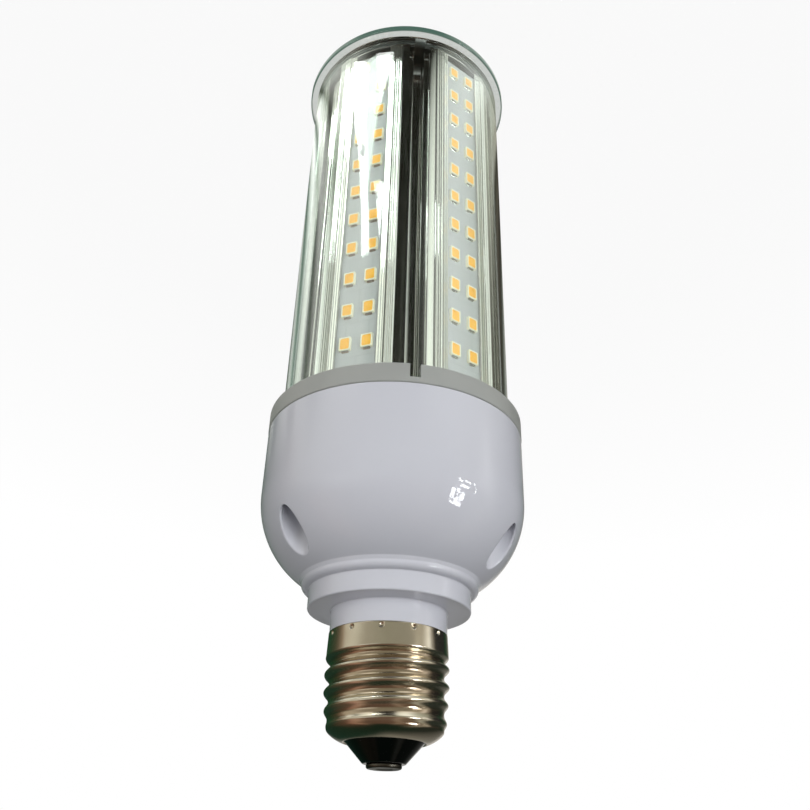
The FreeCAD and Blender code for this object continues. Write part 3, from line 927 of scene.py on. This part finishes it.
@dataclass
class Collar:
    """The grey ring between the tube and the bowl, with its notch at the front."""

    radius: float = 30.6
    bore: float = 27.8
    low: float = 113.7
    plate: float = 117.1
    seam: float = 118.4
    hole: float = 12.0
    notch: float = 2.4
    boss_circle: float = 25.6
    boss_radius: float = 2.5
    boss_high: float = 124.4
    pilot: float = 1.25
    passage: float = 1.6
    sink_circle: float = 21.6
    notch_middle: float = 29.2
    slot_middle: float = 24.8

    def build(self) -> None:
        """A turned ring with rounded edges, three bosses joined, and notch, slots and holes carved."""
        bore, radius, hole, plate, seam = self.bore, self.radius, self.hole, self.plate, self.seam
        table = [
            (bore, self.low, 0.12, 3), (radius, self.low, 0.3, 6), (radius, seam, 0.3, 5),
            (hole, seam, 0.1, 2), (hole, plate, 0.1, 2), (bore, plate, 0.1, 2),
        ]
        made = add_piece("collar_moulding", lathe(table, 288, ring=True), made_of(COLLAR_GREY))
        places = polar(self.boss_circle, THIRDS, 0.0)
        carve(made, rod(self.boss_radius, plate + 0.5, self.boss_high, 40).repeated(places), join=True)
        pilots = rod(self.pilot, plate - 1, self.boss_high + 1, 24).repeated(places)
        sink_screws = polar(self.sink_circle, THIRDS + SECTOR, 0.0)
        passages = rod(self.passage, plate - 1, seam + 1, 24).repeated(sink_screws)
        notch = prism(oblong(self.notch / 2, 2.4, 0.12, 2) - [0, self.notch_middle], self.low - 1, plate)
        slot = prism(oblong(1.1, 4.0, 0.2, 2) + [self.slot_middle, 0], plate - 1, seam + 1)
        slots = [slot.turned_about_z(side) for side in SIDES]
        carve(made, Skin.joined([pilots, passages, notch, *slots]))
        stand_for(made, "collar_ring")


@dataclass
class Housing:
    """The white moulding: bowl, shoulder, bead, flange and neck, with three deep screw recesses."""

    seam: float = 118.42
    bowl: float = 30.5
    bore: float = 28.2
    straight: float = 134.4
    shoulder: float = 22.0
    bead: float = 19.7
    bead_low: float = 153.34
    flange_low: float = 155.34
    flange_high: float = 159.64
    flange: float = 17.95
    neck: float = 12.75
    neck_high: float = 164.49
    spigot: float = 11.6
    spigot_high: float = 171.29
    neck_bore: float = 10.2
    recess: float = 3.15
    recess_circle: float = 25.6
    recess_floor: float = 125.8
    wall: float = 4.45
    wall_low: float = 124.5
    guide: tuple[tuple[float, float], ...] = (
        (22.8, -1.9), (29.0, -1.9), (29.0, 3.4), (22.8, 3.4),
        (22.8, 2.0), (24.1, 2.0), (24.1, -0.6), (22.8, -0.6),
    )
    guide_low: float = 121.5
    guide_high: float = 143.0
    columns: int = 288

    def shoulder_height(self, radius: Array) -> Array:
        """Height of the shoulder over a distance from the axis: straight + root(R^2 - (r - centre)^2)."""
        centre = self.bowl - self.shoulder
        return self.straight + np.sqrt(np.maximum(self.shoulder ** 2 - (radius - centre) ** 2, 0))

    def outside(self) -> list[tuple[float, ...]]:
        """The corners of the outer outline, from the seam to the top of the spigot."""
        centre = self.bowl - self.shoulder
        last = math.acos((self.bead + 1.0 - centre) / self.shoulder)
        reach = self.shoulder * math.tan(last / 2)
        end_z = self.straight + self.shoulder * math.sin(last)
        return [
            (3.0, self.seam, 0.0, 0), (self.bowl, self.seam, 0.35, 5),
            (self.bowl, self.straight + reach, self.shoulder, 56),
            (self.bead + 0.45, end_z + 0.36, 0.55, 5), (self.bead, self.bead_low + 0.5, 0.5, 3),
            (self.bead, self.flange_low, 1.2, 9),
            (self.flange, self.flange_low, 0.25, 4), (self.flange, self.flange_high, 0.35, 6),
            (self.neck, self.flange_high, 0.3, 5), (self.neck, self.neck_high, 0.1, 2),
            (self.spigot, self.neck_high, 0.1, 2), (self.spigot, self.spigot_high, 0.2, 2),
            (3.0, self.spigot_high, 0.0, 0),
        ]

    def well(self) -> Skin:
        """The cutter of one recess about its own axis at the first place.

        It is a cylinder from the floor up. Near the shoulder it flares by a quarter arc, whose height
        follows the shoulder over each point of the ring, so that the recess has a rounded rim.
        """
        floor, recess, flare = self.recess_floor, self.recess, 0.4
        middle = np.array([self.recess_circle, 0.0, 0.0])
        angle = round_steps(72)
        over = polar(recess + flare, angle, 0.0) + middle
        rim = self.shoulder_height(np.hypot(over[:, 0], over[:, 1]))
        turn = np.linspace(0, math.pi / 2, 6)[:, None]
        foot = np.array([(-0.4, 0.0), (-0.12, 0.12), (0.0, 0.4), (0.0, 1.0)]) + [recess, floor]
        lip = recess + flare * (1 - np.cos(turn))
        radius = np.concatenate([foot[:, :1], lip, [[recess + flare + 0.3]]])
        arc = rim - flare * 1.6 * (1 - np.sin(turn))
        height = np.concatenate([foot[:, 1:] + 0 * rim, arc, [rim + 6.0]])
        return Skin.sheet(polar(radius, angle, height) + middle, ends=True)

    def hollow(self) -> bpy.types.Object:
        """The room inside: a turned solid less the recesses' walls and the driver board's guides."""
        centre = self.bowl - self.shoulder
        inner = self.shoulder - (self.bowl - self.bore)
        angle = np.linspace(0, math.acos((self.neck_bore - centre) / inner), 24)
        arc = np.stack([centre + inner * np.cos(angle), self.straight + inner * np.sin(angle)], axis=1)
        start, end = [(self.bore, self.seam - 2)], [(self.neck_bore, self.spigot_high + 1)]
        made = add_piece("hollow", turned(np.concatenate([start, arc, end]), 96))
        wall = rod(self.wall, self.wall_low, self.flange_low, 48)
        wall.points = wall.points + [self.recess_circle, 0.0, 0.0]
        guide = prism(np.array(self.guide), self.guide_low, self.guide_high)
        mirrored = replace(guide.reversed(), points=guide.points * [-1, 1, 1])
        carve(made, Skin.joined([*(wall.turned_about_z(turn) for turn in THIRDS), guide, mirrored]))
        return made

    def build(self) -> None:
        """The turned outer solid less the recesses and less the room inside."""
        made = add_piece("housing_moulding", lathe(self.outside(), self.columns), made_of(HOUSING_WHITE))
        carve(made, Skin.joined([self.well().turned_about_z(turn) for turn in THIRDS]), sharp=40.0)
        carve(made, self.hollow(), sharp=40.0)
        stand_for(made, "driver_housing")


@dataclass
class ScrewShell:
    """The rolled shell: skirt with punched dimples, rounded right-hand thread and rolled-in shoulder."""

    low: float = 164.49
    thread_low: float = 168.99
    bend: float = 184.0
    mouth: float = 186.2
    edge_radius: float = 12.86
    skirt_radius: float = 13.05
    crest: float = 13.2
    root: float = 12.1
    mouth_radius: float = 8.6
    pitch: float = 3.629
    first_crest: float = 172.3
    sheet: float = 0.35
    dimples: int = 12
    dimple_z: float = 165.25
    dimple_turn: float = math.radians(13.5)
    columns: int = 432
    rows: int = 116

    def thread(self, angle: Array, z: Array) -> tuple[Array, Array]:
        """Radius of the sheet's outside and the crest share at each angle and height.

        The share is ((1 + cos(2 pi turns)) / 2) to the power 1.4, where turns = (z - first crest) / pitch
        - (angle from the front) / 2 pi, so the crest climbs with the angle as on a right-hand thread.
        Two smooth steps fade it out into the skirt and into the shoulder, and the last crests are lower.
        Dimples are bell curves.
        """
        turns = (z - self.first_crest) / self.pitch - (angle - FRONT) / (2 * math.pi)
        wave = ((1 + np.cos(2 * math.pi * turns)) / 2) ** 1.4
        start = np.clip((z - self.thread_low) / 1.3, 0, 1)
        start = start * start * (3 - 2 * start)
        stop = np.clip((self.bend + 0.25 - z) / 1.6, 0, 1)
        stop = stop * stop * (3 - 2 * stop)
        lower = np.interp(z, [176.0, self.bend], [0.0, 0.65])
        threaded = self.root + (self.crest - lower - self.root) * wave * stop
        skirt = np.interp(z, [self.low, self.thread_low], [self.edge_radius, self.skirt_radius])
        radius = skirt + (threaded - skirt) * start
        step = 2 * math.pi / self.dimples
        near = (np.mod(angle - FRONT - self.dimple_turn + step / 2, step) - step / 2) * self.edge_radius
        bell = np.exp(-((near / 0.40) ** 2 + ((z - self.dimple_z) / 0.38) ** 2) ** 1.5)
        waves = 0.05 * np.exp(-((near / 1.5) ** 2 + ((z - self.dimple_z) / 1.3) ** 2))
        share = 1 - start * (1 - wave * stop)
        return radius - 0.42 * bell - waves, share

    def build(self) -> None:
        """Outer sheet up, shoulder in, mouth, and the inner sheet back down, as one closed grid."""
        angle = round_steps(self.columns)[None]
        foot = self.low + 0.06
        fine = np.linspace(foot, self.thread_low, 22)
        long = np.linspace(self.thread_low, self.bend, self.rows)[1:]
        up = np.concatenate([fine, long])[:, None]
        radius, share = self.thread(angle, up)
        turn = np.linspace(0, math.pi / 2, 16)[1:, None]
        inward, upward = np.cos(turn) ** 1.5, np.sin(turn) ** 1.5
        round_out = self.mouth_radius + (radius[-1:] - self.mouth_radius) * inward
        round_z = self.bend + (self.mouth - self.bend) * upward
        inner_mouth = self.mouth_radius - self.sheet
        inner_z = self.bend + (self.mouth - self.sheet - self.bend) * upward[::-1]
        round_in = inner_mouth + (radius[-1:] - self.sheet - inner_mouth) * inward[::-1]
        down = np.linspace(self.bend, foot, 60)[:, None]
        radius_in = self.thread(angle, down)[0] - self.sheet
        edge = [radius_in[-1:] + 0.06, radius[:1] - 0.06]
        r = np.concatenate([radius, round_out, round_in, radius_in, *edge])
        z = np.concatenate([up, round_z, inner_z, down, [[self.low], [self.low]]])
        crest = np.zeros(r.shape)
        crest[:len(up) + len(turn)] = 0.15
        crest[:len(up)] = share
        skin = Skin.sheet(polar(r, angle, z), ring=True)
        made = add_piece("screw_shell_sheet", skin, made_of(Plated()), sharp=60.0)
        values = made.data.attributes.new("crest", "FLOAT", "POINT").data
        values.foreach_set("value", crest.astype(np.float32).ravel())
        stand_for(made, "screw_shell")


@dataclass
class CapEnd:
    """The black insulator and the contact at the tip."""

    plug: float = 11.6
    stem: float = 1.7
    stem_low: float = 181.6
    bend: float = 183.9
    mouth: float = 186.2
    mouth_radius: float = 8.15
    tip: float = 190.1
    tip_radius: float = 4.4
    contact: float = 3.65
    top: float = 191.0

    def insulator(self) -> None:
        """A turned ring: plug under the shoulder, cone out to the contact, bore for the stem."""
        bore = self.stem + 0.02
        table = [
            (bore, self.stem_low, 0.0, 0), (self.plug, self.stem_low, 0.3, 3),
            (self.plug, self.bend, 0.8, 6), (self.mouth_radius, self.mouth - 0.1, 0.6, 6),
            (self.tip_radius, self.tip, 0.55, 7), (bore, self.tip, 0.0, 0),
        ]
        made = add_piece("glass_insulator", lathe(table, 160, ring=True), made_of(GLASS_BLACK))
        stand_for(made, "cap_insulator")

    def contact_plate(self) -> None:
        """A turned disc with a rounded edge and a shallow pressed middle, on its stem."""
        seat, pressed = self.tip + 0.02, self.top - 0.14
        table = [
            (0.3, self.stem_low, 0.0, 0), (self.stem, self.stem_low, 0.2, 3), (self.stem, seat, 0.05, 2),
            (self.contact, seat, 0.25, 4), (self.contact, self.top, 0.42, 8), (1.9, self.top, 0.5, 5),
            (1.6, pressed, 0.4, 5), (0.3, pressed, 0.0, 0),
        ]
        made = add_piece("contact_plate", lathe(table, 128), made_of(CONTACT_DULL_SHADED))
        stand_for(made, "centre_contact")


# Stage, lamps and camera


@dataclass(frozen=True)
class PhotoCamera:
    """The photograph's viewpoint, found from the bulb's known shape.

    Angles are radians. The camera was fitted with the cap down, so place and directions are turned
    over and about the axis: (x, y, z) becomes (-x, y, height - z), then turned by the collar's angle.
    """

    distance: float = 181.452
    pitch: float = 0.519
    roll: float = 0.0285
    yaw: float = 0.012
    height: float = 210.43
    turn: float = math.radians(7.27)
    lens: float = 37.08

    def flipped(self, v: Array, shift: float) -> Array:
        """Turns a place or a direction over and about the axis."""
        return np.array([*spun(-v[0], v[1], self.turn), shift - v[2]])

    def build(self) -> None:
        """Makes the camera from its place and its three directions."""
        level = math.cos(self.pitch)
        ahead = np.array([math.sin(self.yaw) * level, math.cos(self.yaw) * level, math.sin(self.pitch)])
        right = np.array([math.cos(self.yaw), -math.sin(self.yaw), 0.0])
        up = np.cross(right, ahead)
        side = math.cos(self.roll) * right + math.sin(self.roll) * up
        rise = -math.sin(self.roll) * right + math.cos(self.roll) * up
        matrix = np.eye(4)
        matrix[:3, :3] = np.stack([self.flipped(v, 0.0) for v in (side, rise, -ahead)], axis=1)
        matrix[:3, 3] = self.flipped(np.array([0.0, -self.distance, 0.0]), self.height) * MM
        data = bpy.data.cameras.new("photo_camera")
        data.lens = self.lens
        data.sensor_width = 36.0
        data.clip_start = 0.01
        made = bpy.data.objects.new("photo_camera", data)
        made.matrix_world = Matrix(matrix.tolist())
        bpy.context.scene.collection.objects.link(made)
        bpy.context.scene.camera = made


@dataclass
class Studio:
    """Pale floor, soft lamps, and cards that only reflections show."""

    floor_size: float = 60.0

    def floor(self) -> None:
        """A wide pale floor, white where it is seen, with a painted shadow that darkens its colour under
        the bulb, and that keeps the real shadow too.

        The white share grows with the distance from the axis in two even rises: 0 inside the lid, 0.93
        beside it and 1 further out.
        """
        half = self.floor_size / 2 / MM
        corners = np.array([(-half, -half, 0), (half, -half, 0), (half, half, 0), (-half, half, 0)])
        tree = MaterialTree("floor_pale_painted_shadow")
        away = tree.away()
        pale = tree.mix(tree.mottle(3.0, 0.0, 1.0)["Mask"], (0.80, 0.80, 0.80), (0.82, 0.82, 0.82))
        # Painted shadow: the floor's colour turns dark brown within 22.5 mm of the axis, under the bulb.
        colour = tree.mix(tree.step(away, 0.0225, 0.0245), (0.16, 0.14, 0.12), pale)
        plain = tree.node("ShaderNodeBsdfDiffuse", {0: colour}).outputs[0]
        white = tree.node("ShaderNodeEmission", {0: (1.0, 1.0, 1.0), 1: 1.0}).outputs[0]
        near = tree.span(away, 0.0, 0.93, 0.0245, 0.027)
        share = tree.math("ADD", near, tree.span(away, 0.0, 0.07, 0.12, 0.42))
        surface = tree.either(tree.math("MULTIPLY", tree.seen(), share), plain, white)
        skin = Skin.of(corners, [np.array([[0, 1, 2, 3]])])
        add_piece("floor", skin, tree.done(surface))

    def world(self) -> None:
        """Soft light from all round, brighter at the horizon, with a white background."""
        world = bpy.data.worlds.new("studio")
        world.use_nodes = True
        tree = Tree(world.node_tree)
        tree.tree.nodes.clear()
        way = tree.node("ShaderNodeTexCoord").outputs["Generated"]
        height = tree.node("ShaderNodeSeparateXYZ", {0: way}).outputs[2]
        strength = tree.span(height, 0.56, 0.07, 0.0, 0.7)
        soft = tree.node("ShaderNodeBackground", {0: (0.98, 0.98, 1.0), 1: strength}).outputs[0]
        white = tree.node("ShaderNodeBackground", {0: (1.0, 1.0, 1.0), 1: 1.0}).outputs[0]
        tree.node("ShaderNodeOutputWorld", {"Surface": tree.either(tree.seen(), soft, white)})
        bpy.context.scene.world = world

    @staticmethod
    def lamp(name: str, place: Triple, size: tuple[float, float], watts: float, colour: Triple) -> None:
        """An area lamp that faces the bulb's middle and has no mirror image of its own.

        Args:
            name: The lamp's name.
            place: Its place in metres.
            size: Its width and height in metres.
            watts: Its power.
            colour: Its colour.
        """
        data = bpy.data.lights.new(name, "AREA")
        data.shape = "RECTANGLE"
        data.size, data.size_y = size
        data.energy = watts
        data.color = colour
        made = bpy.data.objects.new(name, data)
        made.location = place
        made.rotation_euler = (Vector(place) - Vector((0, 0, 0.10))).to_track_quat("Z", "Y").to_euler()
        made.visible_glossy = False
        bpy.context.scene.collection.objects.link(made)

    @staticmethod
    def card(name: str, skin: Skin, colour_of: Callable[[MaterialTree], tuple[Any, Any, Any]]) -> None:
        """A card that only gloss shows: light where a ray has met gloss, and nothing otherwise.

        Args:
            name: The card's name.
            skin: Its surface in millimetres.
            colour_of: Takes the material's tree, gives colour, strength and cover.
        """
        tree = MaterialTree(name)
        colour, strength, cover = colour_of(tree)
        light = tree.node("ShaderNodeEmission", {0: colour, 1: strength}).outputs[0]
        nothing = tree.node("ShaderNodeBsdfTransparent").outputs[0]
        depth = tree.node("ShaderNodeLightPath").outputs["Glossy Depth"]
        share = tree.math("MULTIPLY", tree.math("MINIMUM", depth, 1.0), cover)
        made = add_piece(name, skin, tree.done(tree.either(share, nothing, light)))
        made.visible_shadow = False
        made.visible_diffuse = False

    @staticmethod
    def round_ramp(tree: MaterialTree, stops: list[tuple[float, float, float, float]]) -> Socket:
        """Colours by the angle about the axis. A stop is (degrees from +X, + 180) / 360 and a colour."""
        turn = tree.node("ShaderNodeTexGradient", {0: tree.place}, gradient_type="RADIAL").outputs["Fac"]
        ramp = tree.node("ShaderNodeValToRGB", {0: turn})
        elements = ramp.color_ramp.elements
        for element, stop in zip(list(elements), (stops[0], stops[-1])):
            element.position = stop[0]
        for stop in stops[1:-1]:
            elements.new(stop[0])
        for element, stop in zip(elements, stops):
            element.color = (*stop[1:], 1.0)
        return ramp.outputs[0]

    def floor_card(self) -> None:
        """A floor pattern of light and dark sectors for the metal: one near the bulb, one further out."""
        near = [
            (0.00, 0.34, 0.34, 0.28), (0.06, 0.44, 0.44, 0.38), (0.125, 1.0, 1.0, 0.97),
            (0.15, 1.0, 1.0, 0.94), (0.19, 0.85, 0.85, 0.78), (0.222, 0.010, 0.009, 0.007),
            (0.28, 0.010, 0.009, 0.007), (0.31, 0.11, 0.105, 0.095), (0.345, 0.20, 0.195, 0.17),
            (0.37, 0.95, 0.94, 0.86), (0.42, 1.0, 0.99, 0.92), (0.455, 0.6, 0.6, 0.55),
            (0.48, 0.10, 0.11, 0.08), (0.50, 0.75, 0.77, 0.70), (0.53, 1.0, 1.0, 0.95),
            (0.55, 0.10, 0.14, 0.10), (0.575, 1.0, 1.0, 0.96), (0.60, 0.62, 0.66, 0.60),
            (0.63, 0.03, 0.08, 0.05), (0.66, 0.5, 0.52, 0.48), (0.70, 0.02, 0.05, 0.03),
            (0.735, 0.03, 0.04, 0.035), (0.76, 0.50, 0.50, 0.47), (0.80, 0.62, 0.62, 0.59),
            (0.82, 0.10, 0.10, 0.09), (0.85, 0.34, 0.34, 0.31), (0.885, 0.04, 0.04, 0.03),
            (0.90, 0.03, 0.025, 0.02), (0.93, 0.08, 0.07, 0.055), (0.955, 0.03, 0.028, 0.02),
            (0.975, 0.30, 0.29, 0.24),
        ]
        far = [
            (0.00, 0.10, 0.08, 0.06), (0.022, 0.30, 0.28, 0.25), (0.042, 1.0, 0.98, 0.94),
            (0.061, 0.62, 0.59, 0.53), (0.089, 0.35, 0.32, 0.26), (0.117, 0.46, 0.43, 0.36),
            (0.144, 0.28, 0.27, 0.23), (0.292, 0.28, 0.27, 0.22), (0.389, 0.33, 0.31, 0.26),
            (0.458, 0.55, 0.53, 0.46), (0.514, 0.52, 0.49, 0.42), (0.533, 0.25, 0.18, 0.13),
            (0.575, 0.06, 0.06, 0.035), (0.639, 0.02, 0.05, 0.025), (0.694, 0.01, 0.045, 0.02),
            (0.73, 0.01, 0.035, 0.015), (0.76, 0.32, 0.31, 0.28), (0.81, 0.50, 0.49, 0.45),
            (0.84, 0.10, 0.11, 0.09), (0.88, 0.012, 0.035, 0.018), (0.917, 0.02, 0.02, 0.02),
        ]

        def pattern(tree: MaterialTree) -> tuple[Any, Any, Any]:
            """The near sectors up to 0.2 m from the axis, the far ones from 0.3 m."""
            share = tree.step(tree.away(), 0.20, 0.30)
            return tree.mix(share, self.round_ramp(tree, near), self.round_ramp(tree, far)), 1.4, 1.0

        grid = polar(np.array([[25.5], [120.0], [400.0], [2600.0]]), round_steps(96), 0.4)
        self.card("floor_reflection_card", Skin.sheet(grid), pattern)

    def dome_card(self) -> None:
        """A dark dome with a paler horizon and soft windows, so that the metal has something to show."""
        low = [
            (0.00, 0.10, 0.09, 0.07), (0.03, 0.55, 0.54, 0.50), (0.06, 0.22, 0.20, 0.16),
            (0.10, 0.60, 0.59, 0.55), (0.14, 0.55, 0.53, 0.48), (0.18, 0.20, 0.18, 0.14),
            (0.30, 0.20, 0.18, 0.14), (0.35, 0.70, 0.69, 0.64), (0.41, 0.75, 0.74, 0.70),
            (0.45, 0.26, 0.24, 0.19), (0.51, 0.12, 0.09, 0.06), (0.565, 0.02, 0.04, 0.022),
            (0.70, 0.008, 0.03, 0.015), (0.73, 0.01, 0.03, 0.02), (0.77, 0.45, 0.44, 0.42),
            (0.81, 0.60, 0.59, 0.56), (0.84, 0.12, 0.12, 0.11), (0.88, 0.015, 0.035, 0.02),
            (0.93, 0.03, 0.03, 0.025),
        ]
        high = [
            (0.00, 0.10, 0.08, 0.06), (0.04, 0.34, 0.33, 0.28), (0.08, 0.12, 0.08, 0.055),
            (0.16, 0.16, 0.11, 0.08), (0.19, 0.30, 0.23, 0.18), (0.23, 0.12, 0.075, 0.055),
            (0.38, 0.11, 0.07, 0.05), (0.44, 0.34, 0.22, 0.16), (0.47, 0.30, 0.17, 0.13),
            (0.50, 0.10, 0.06, 0.04), (0.62, 0.012, 0.03, 0.018), (0.73, 0.01, 0.03, 0.02),
            (0.78, 0.25, 0.25, 0.23), (0.84, 0.12, 0.12, 0.11), (0.90, 0.02, 0.025, 0.02),
        ]

        def pattern(tree: MaterialTree) -> tuple[Any, Any, Any]:
            """Low sectors under about 12 degrees, high ones to about 45, and nearly black above."""
            way = tree.node("ShaderNodeVectorMath", {0: tree.place}, operation="NORMALIZE").outputs[0]
            height = tree.node("ShaderNodeSeparateXYZ", {0: way}).outputs[2]
            share = tree.step(height, 0.14, 0.30)
            sides = tree.mix(share, self.round_ramp(tree, low), self.round_ramp(tree, high))
            return tree.mix(tree.step(height, 0.80, 0.97), sides, (0.01, 0.022, 0.014)), 1.5, 1.0

        rise = np.concatenate([[-0.002], np.linspace(0.02, 0.999, 16)])[:, None] * math.pi / 2
        grid = polar(np.cos(rise), round_steps(64), np.sin(rise)) * 2500.0
        self.card("dome_card", Skin.sheet(grid), pattern)

    @staticmethod
    def squares(middle: Array, distance: float, table: Array) -> Skin:
        """Upright rectangles that face a point.

        Args:
            middle: The point.
            distance: Their distance from it.
            table: A row for each: azimuth, elevation, half width and half height.

        Returns:
            The skin: corners at middle + ahead * distance +- side * half width +- rise * half height.
        """
        a, e = np.radians(table[:, :2]).T
        ahead = np.stack([np.cos(a) * np.cos(e), np.sin(a) * np.cos(e), np.sin(e)], axis=1)
        side = np.stack([-np.sin(a), np.cos(a), 0 * a], axis=1)
        rise = np.cross(ahead, side) * table[:, 3:4]
        signs = np.array([(-1, -1), (1, -1), (1, 1), (-1, 1)])[None]
        points = (middle + ahead * distance)[:, None]
        side = side * table[:, 2:3]
        points = points + side[:, None] * signs[..., :1] + rise[:, None] * signs[..., 1:]
        return Skin.of(points.reshape(-1, 3), [np.arange(4 * len(a)).reshape(-1, 4)])

    def window_card(self) -> None:
        """A window in ragged pieces and a few small lights, at the photograph's right, for the bowl."""
        table = [
            (-133.9, 14.5, 32.0, 140.0), (-140.6, 20.5, 66.0, 42.0), (-138.8, 7.5, 34.0, 38.0),
            (-143.4, 12.5, 30.0, 86.0), (-139.5, 14.0, 34.0, 62.0), (-137.0, 17.5, 24.0, 16.0),
            (-142.5, 1.6, 95.0, 24.0), (-139.2, -3.6, 34.0, 28.0), (-144.2, -3.6, 20.0, 26.0),
            (-147.4, -3.6, 26.0, 14.0), (-152.6, -4.2, 9.0, 14.0), (-154.4, 1.2, 9.0, 44.0),
            (-164.8, 20.5, 13.0, 13.0),
        ]
        skin = self.squares(np.array([-11.0, -27.0, 140.0]), 1000.0, np.array(table))

        def panes(tree: MaterialTree) -> tuple[Any, Any, Any]:
            """Bright but where a noise is low, so that the panes have ragged edges."""
            return (0.98, 0.99, 1.0), 16.0, tree.step(tree.noise(tree.place, 16.0, 4.0), 0.40, 0.42)

        self.card("window_card", skin, panes)

    def head_card(self) -> None:
        """Bright panes on the floor beside the head, which show in the tube over the left board."""
        left = np.array(
            [(23.5, -21.8), (44.6, -30.0), (65.9, -56.7), (88.9, -84.5), (16.5, -28.5), (21.6, -34.7),
             (25.7, -43.5), (49.8, -67.8), (55.5, -98.5)]
        )
        right = np.array(
            [(21.1, -27.1), (39.2, -40.5), (59.1, -65.4), (75.3, -94.6), (9.9, -32.1), (16.8, -38.3),
             (25.2, -43.8), (35.7, -77.4), (54.8, -99.2)]
        )
        flat = np.concatenate([left, right])
        first = np.array([0, 1, 2, 4, 5, 7])
        quads = np.stack([first, first + 1, first + 10, first + 9], axis=1)
        between = np.array([[9, 10, 5, 4], [10, 11, 6, 5]])

        def patch(tree: MaterialTree) -> tuple[Any, Any, Any]:
            """Bright with ragged edges from a noise."""
            return (0.97, 1.0, 0.97), 9.0, tree.step(tree.noise(tree.place, 90.0, 4.0), 0.34, 0.40)

        def strip(tree: MaterialTree) -> tuple[Any, Any, Any]:
            """Pale green, without holes."""
            return (0.86, 1.0, 0.88), 5.0, 1.0

        self.card("head_card", Skin.of(at_height(flat, 1.0), [quads]), patch)
        self.card("head_strip_card", Skin.of(at_height(flat, 1.2), [between]), strip)

    def build(self) -> None:
        """Builds the whole stage."""
        self.world()
        self.floor()
        self.floor_card()
        self.dome_card()
        self.window_card()
        self.head_card()
        self.lamp("left_soft_lamp", (0.90, -0.16, 0.10), (0.5, 0.5), 1.5, (1.0, 0.98, 0.92))
        self.lamp("front_soft_lamp", (-0.20, -0.95, 0.15), (0.45, 0.45), 5.2, (0.96, 0.98, 1.0))
        self.lamp("side_soft_lamp", (-0.90, 0.10, 0.20), (0.5, 0.5), 0.65, (1.0, 1.0, 1.0))
        self.lamp("back_soft_lamp", (0.10, 0.95, 0.22), (0.7, 0.4), 4.5, (1.0, 1.0, 1.0))


def dress_hidden() -> None:
    """Gives the nodes that stay their finishes."""
    for nodes, finish in HIDDEN:
        for name in nodes:
            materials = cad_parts[name].data.materials
            materials.clear()
            materials.append(made_of(finish))
            LOG.info("%s keeps its solid as %s", name, finish.name)


def main() -> None:
    """Builds the bulb from the head to the cap, then the studio and the camera."""
    logging.basicConfig(level=logging.INFO, format="%(name)s %(message)s")
    bpy.context.scene.view_settings.view_transform = "Standard"
    head = ClearHead()
    head.cover()
    head.lid()
    HeatSink().build()
    engine = LightEngine()
    for index in range(1, 7):
        engine.board(index)
        engine.packages(index)
    Collar().build()
    Housing().build()
    ScrewShell().build()
    cap = CapEnd()
    cap.insulator()
    cap.contact_plate()
    dress_hidden()
    Studio().build()
    PhotoCamera().build()


if __name__ == "__main__":
    main()
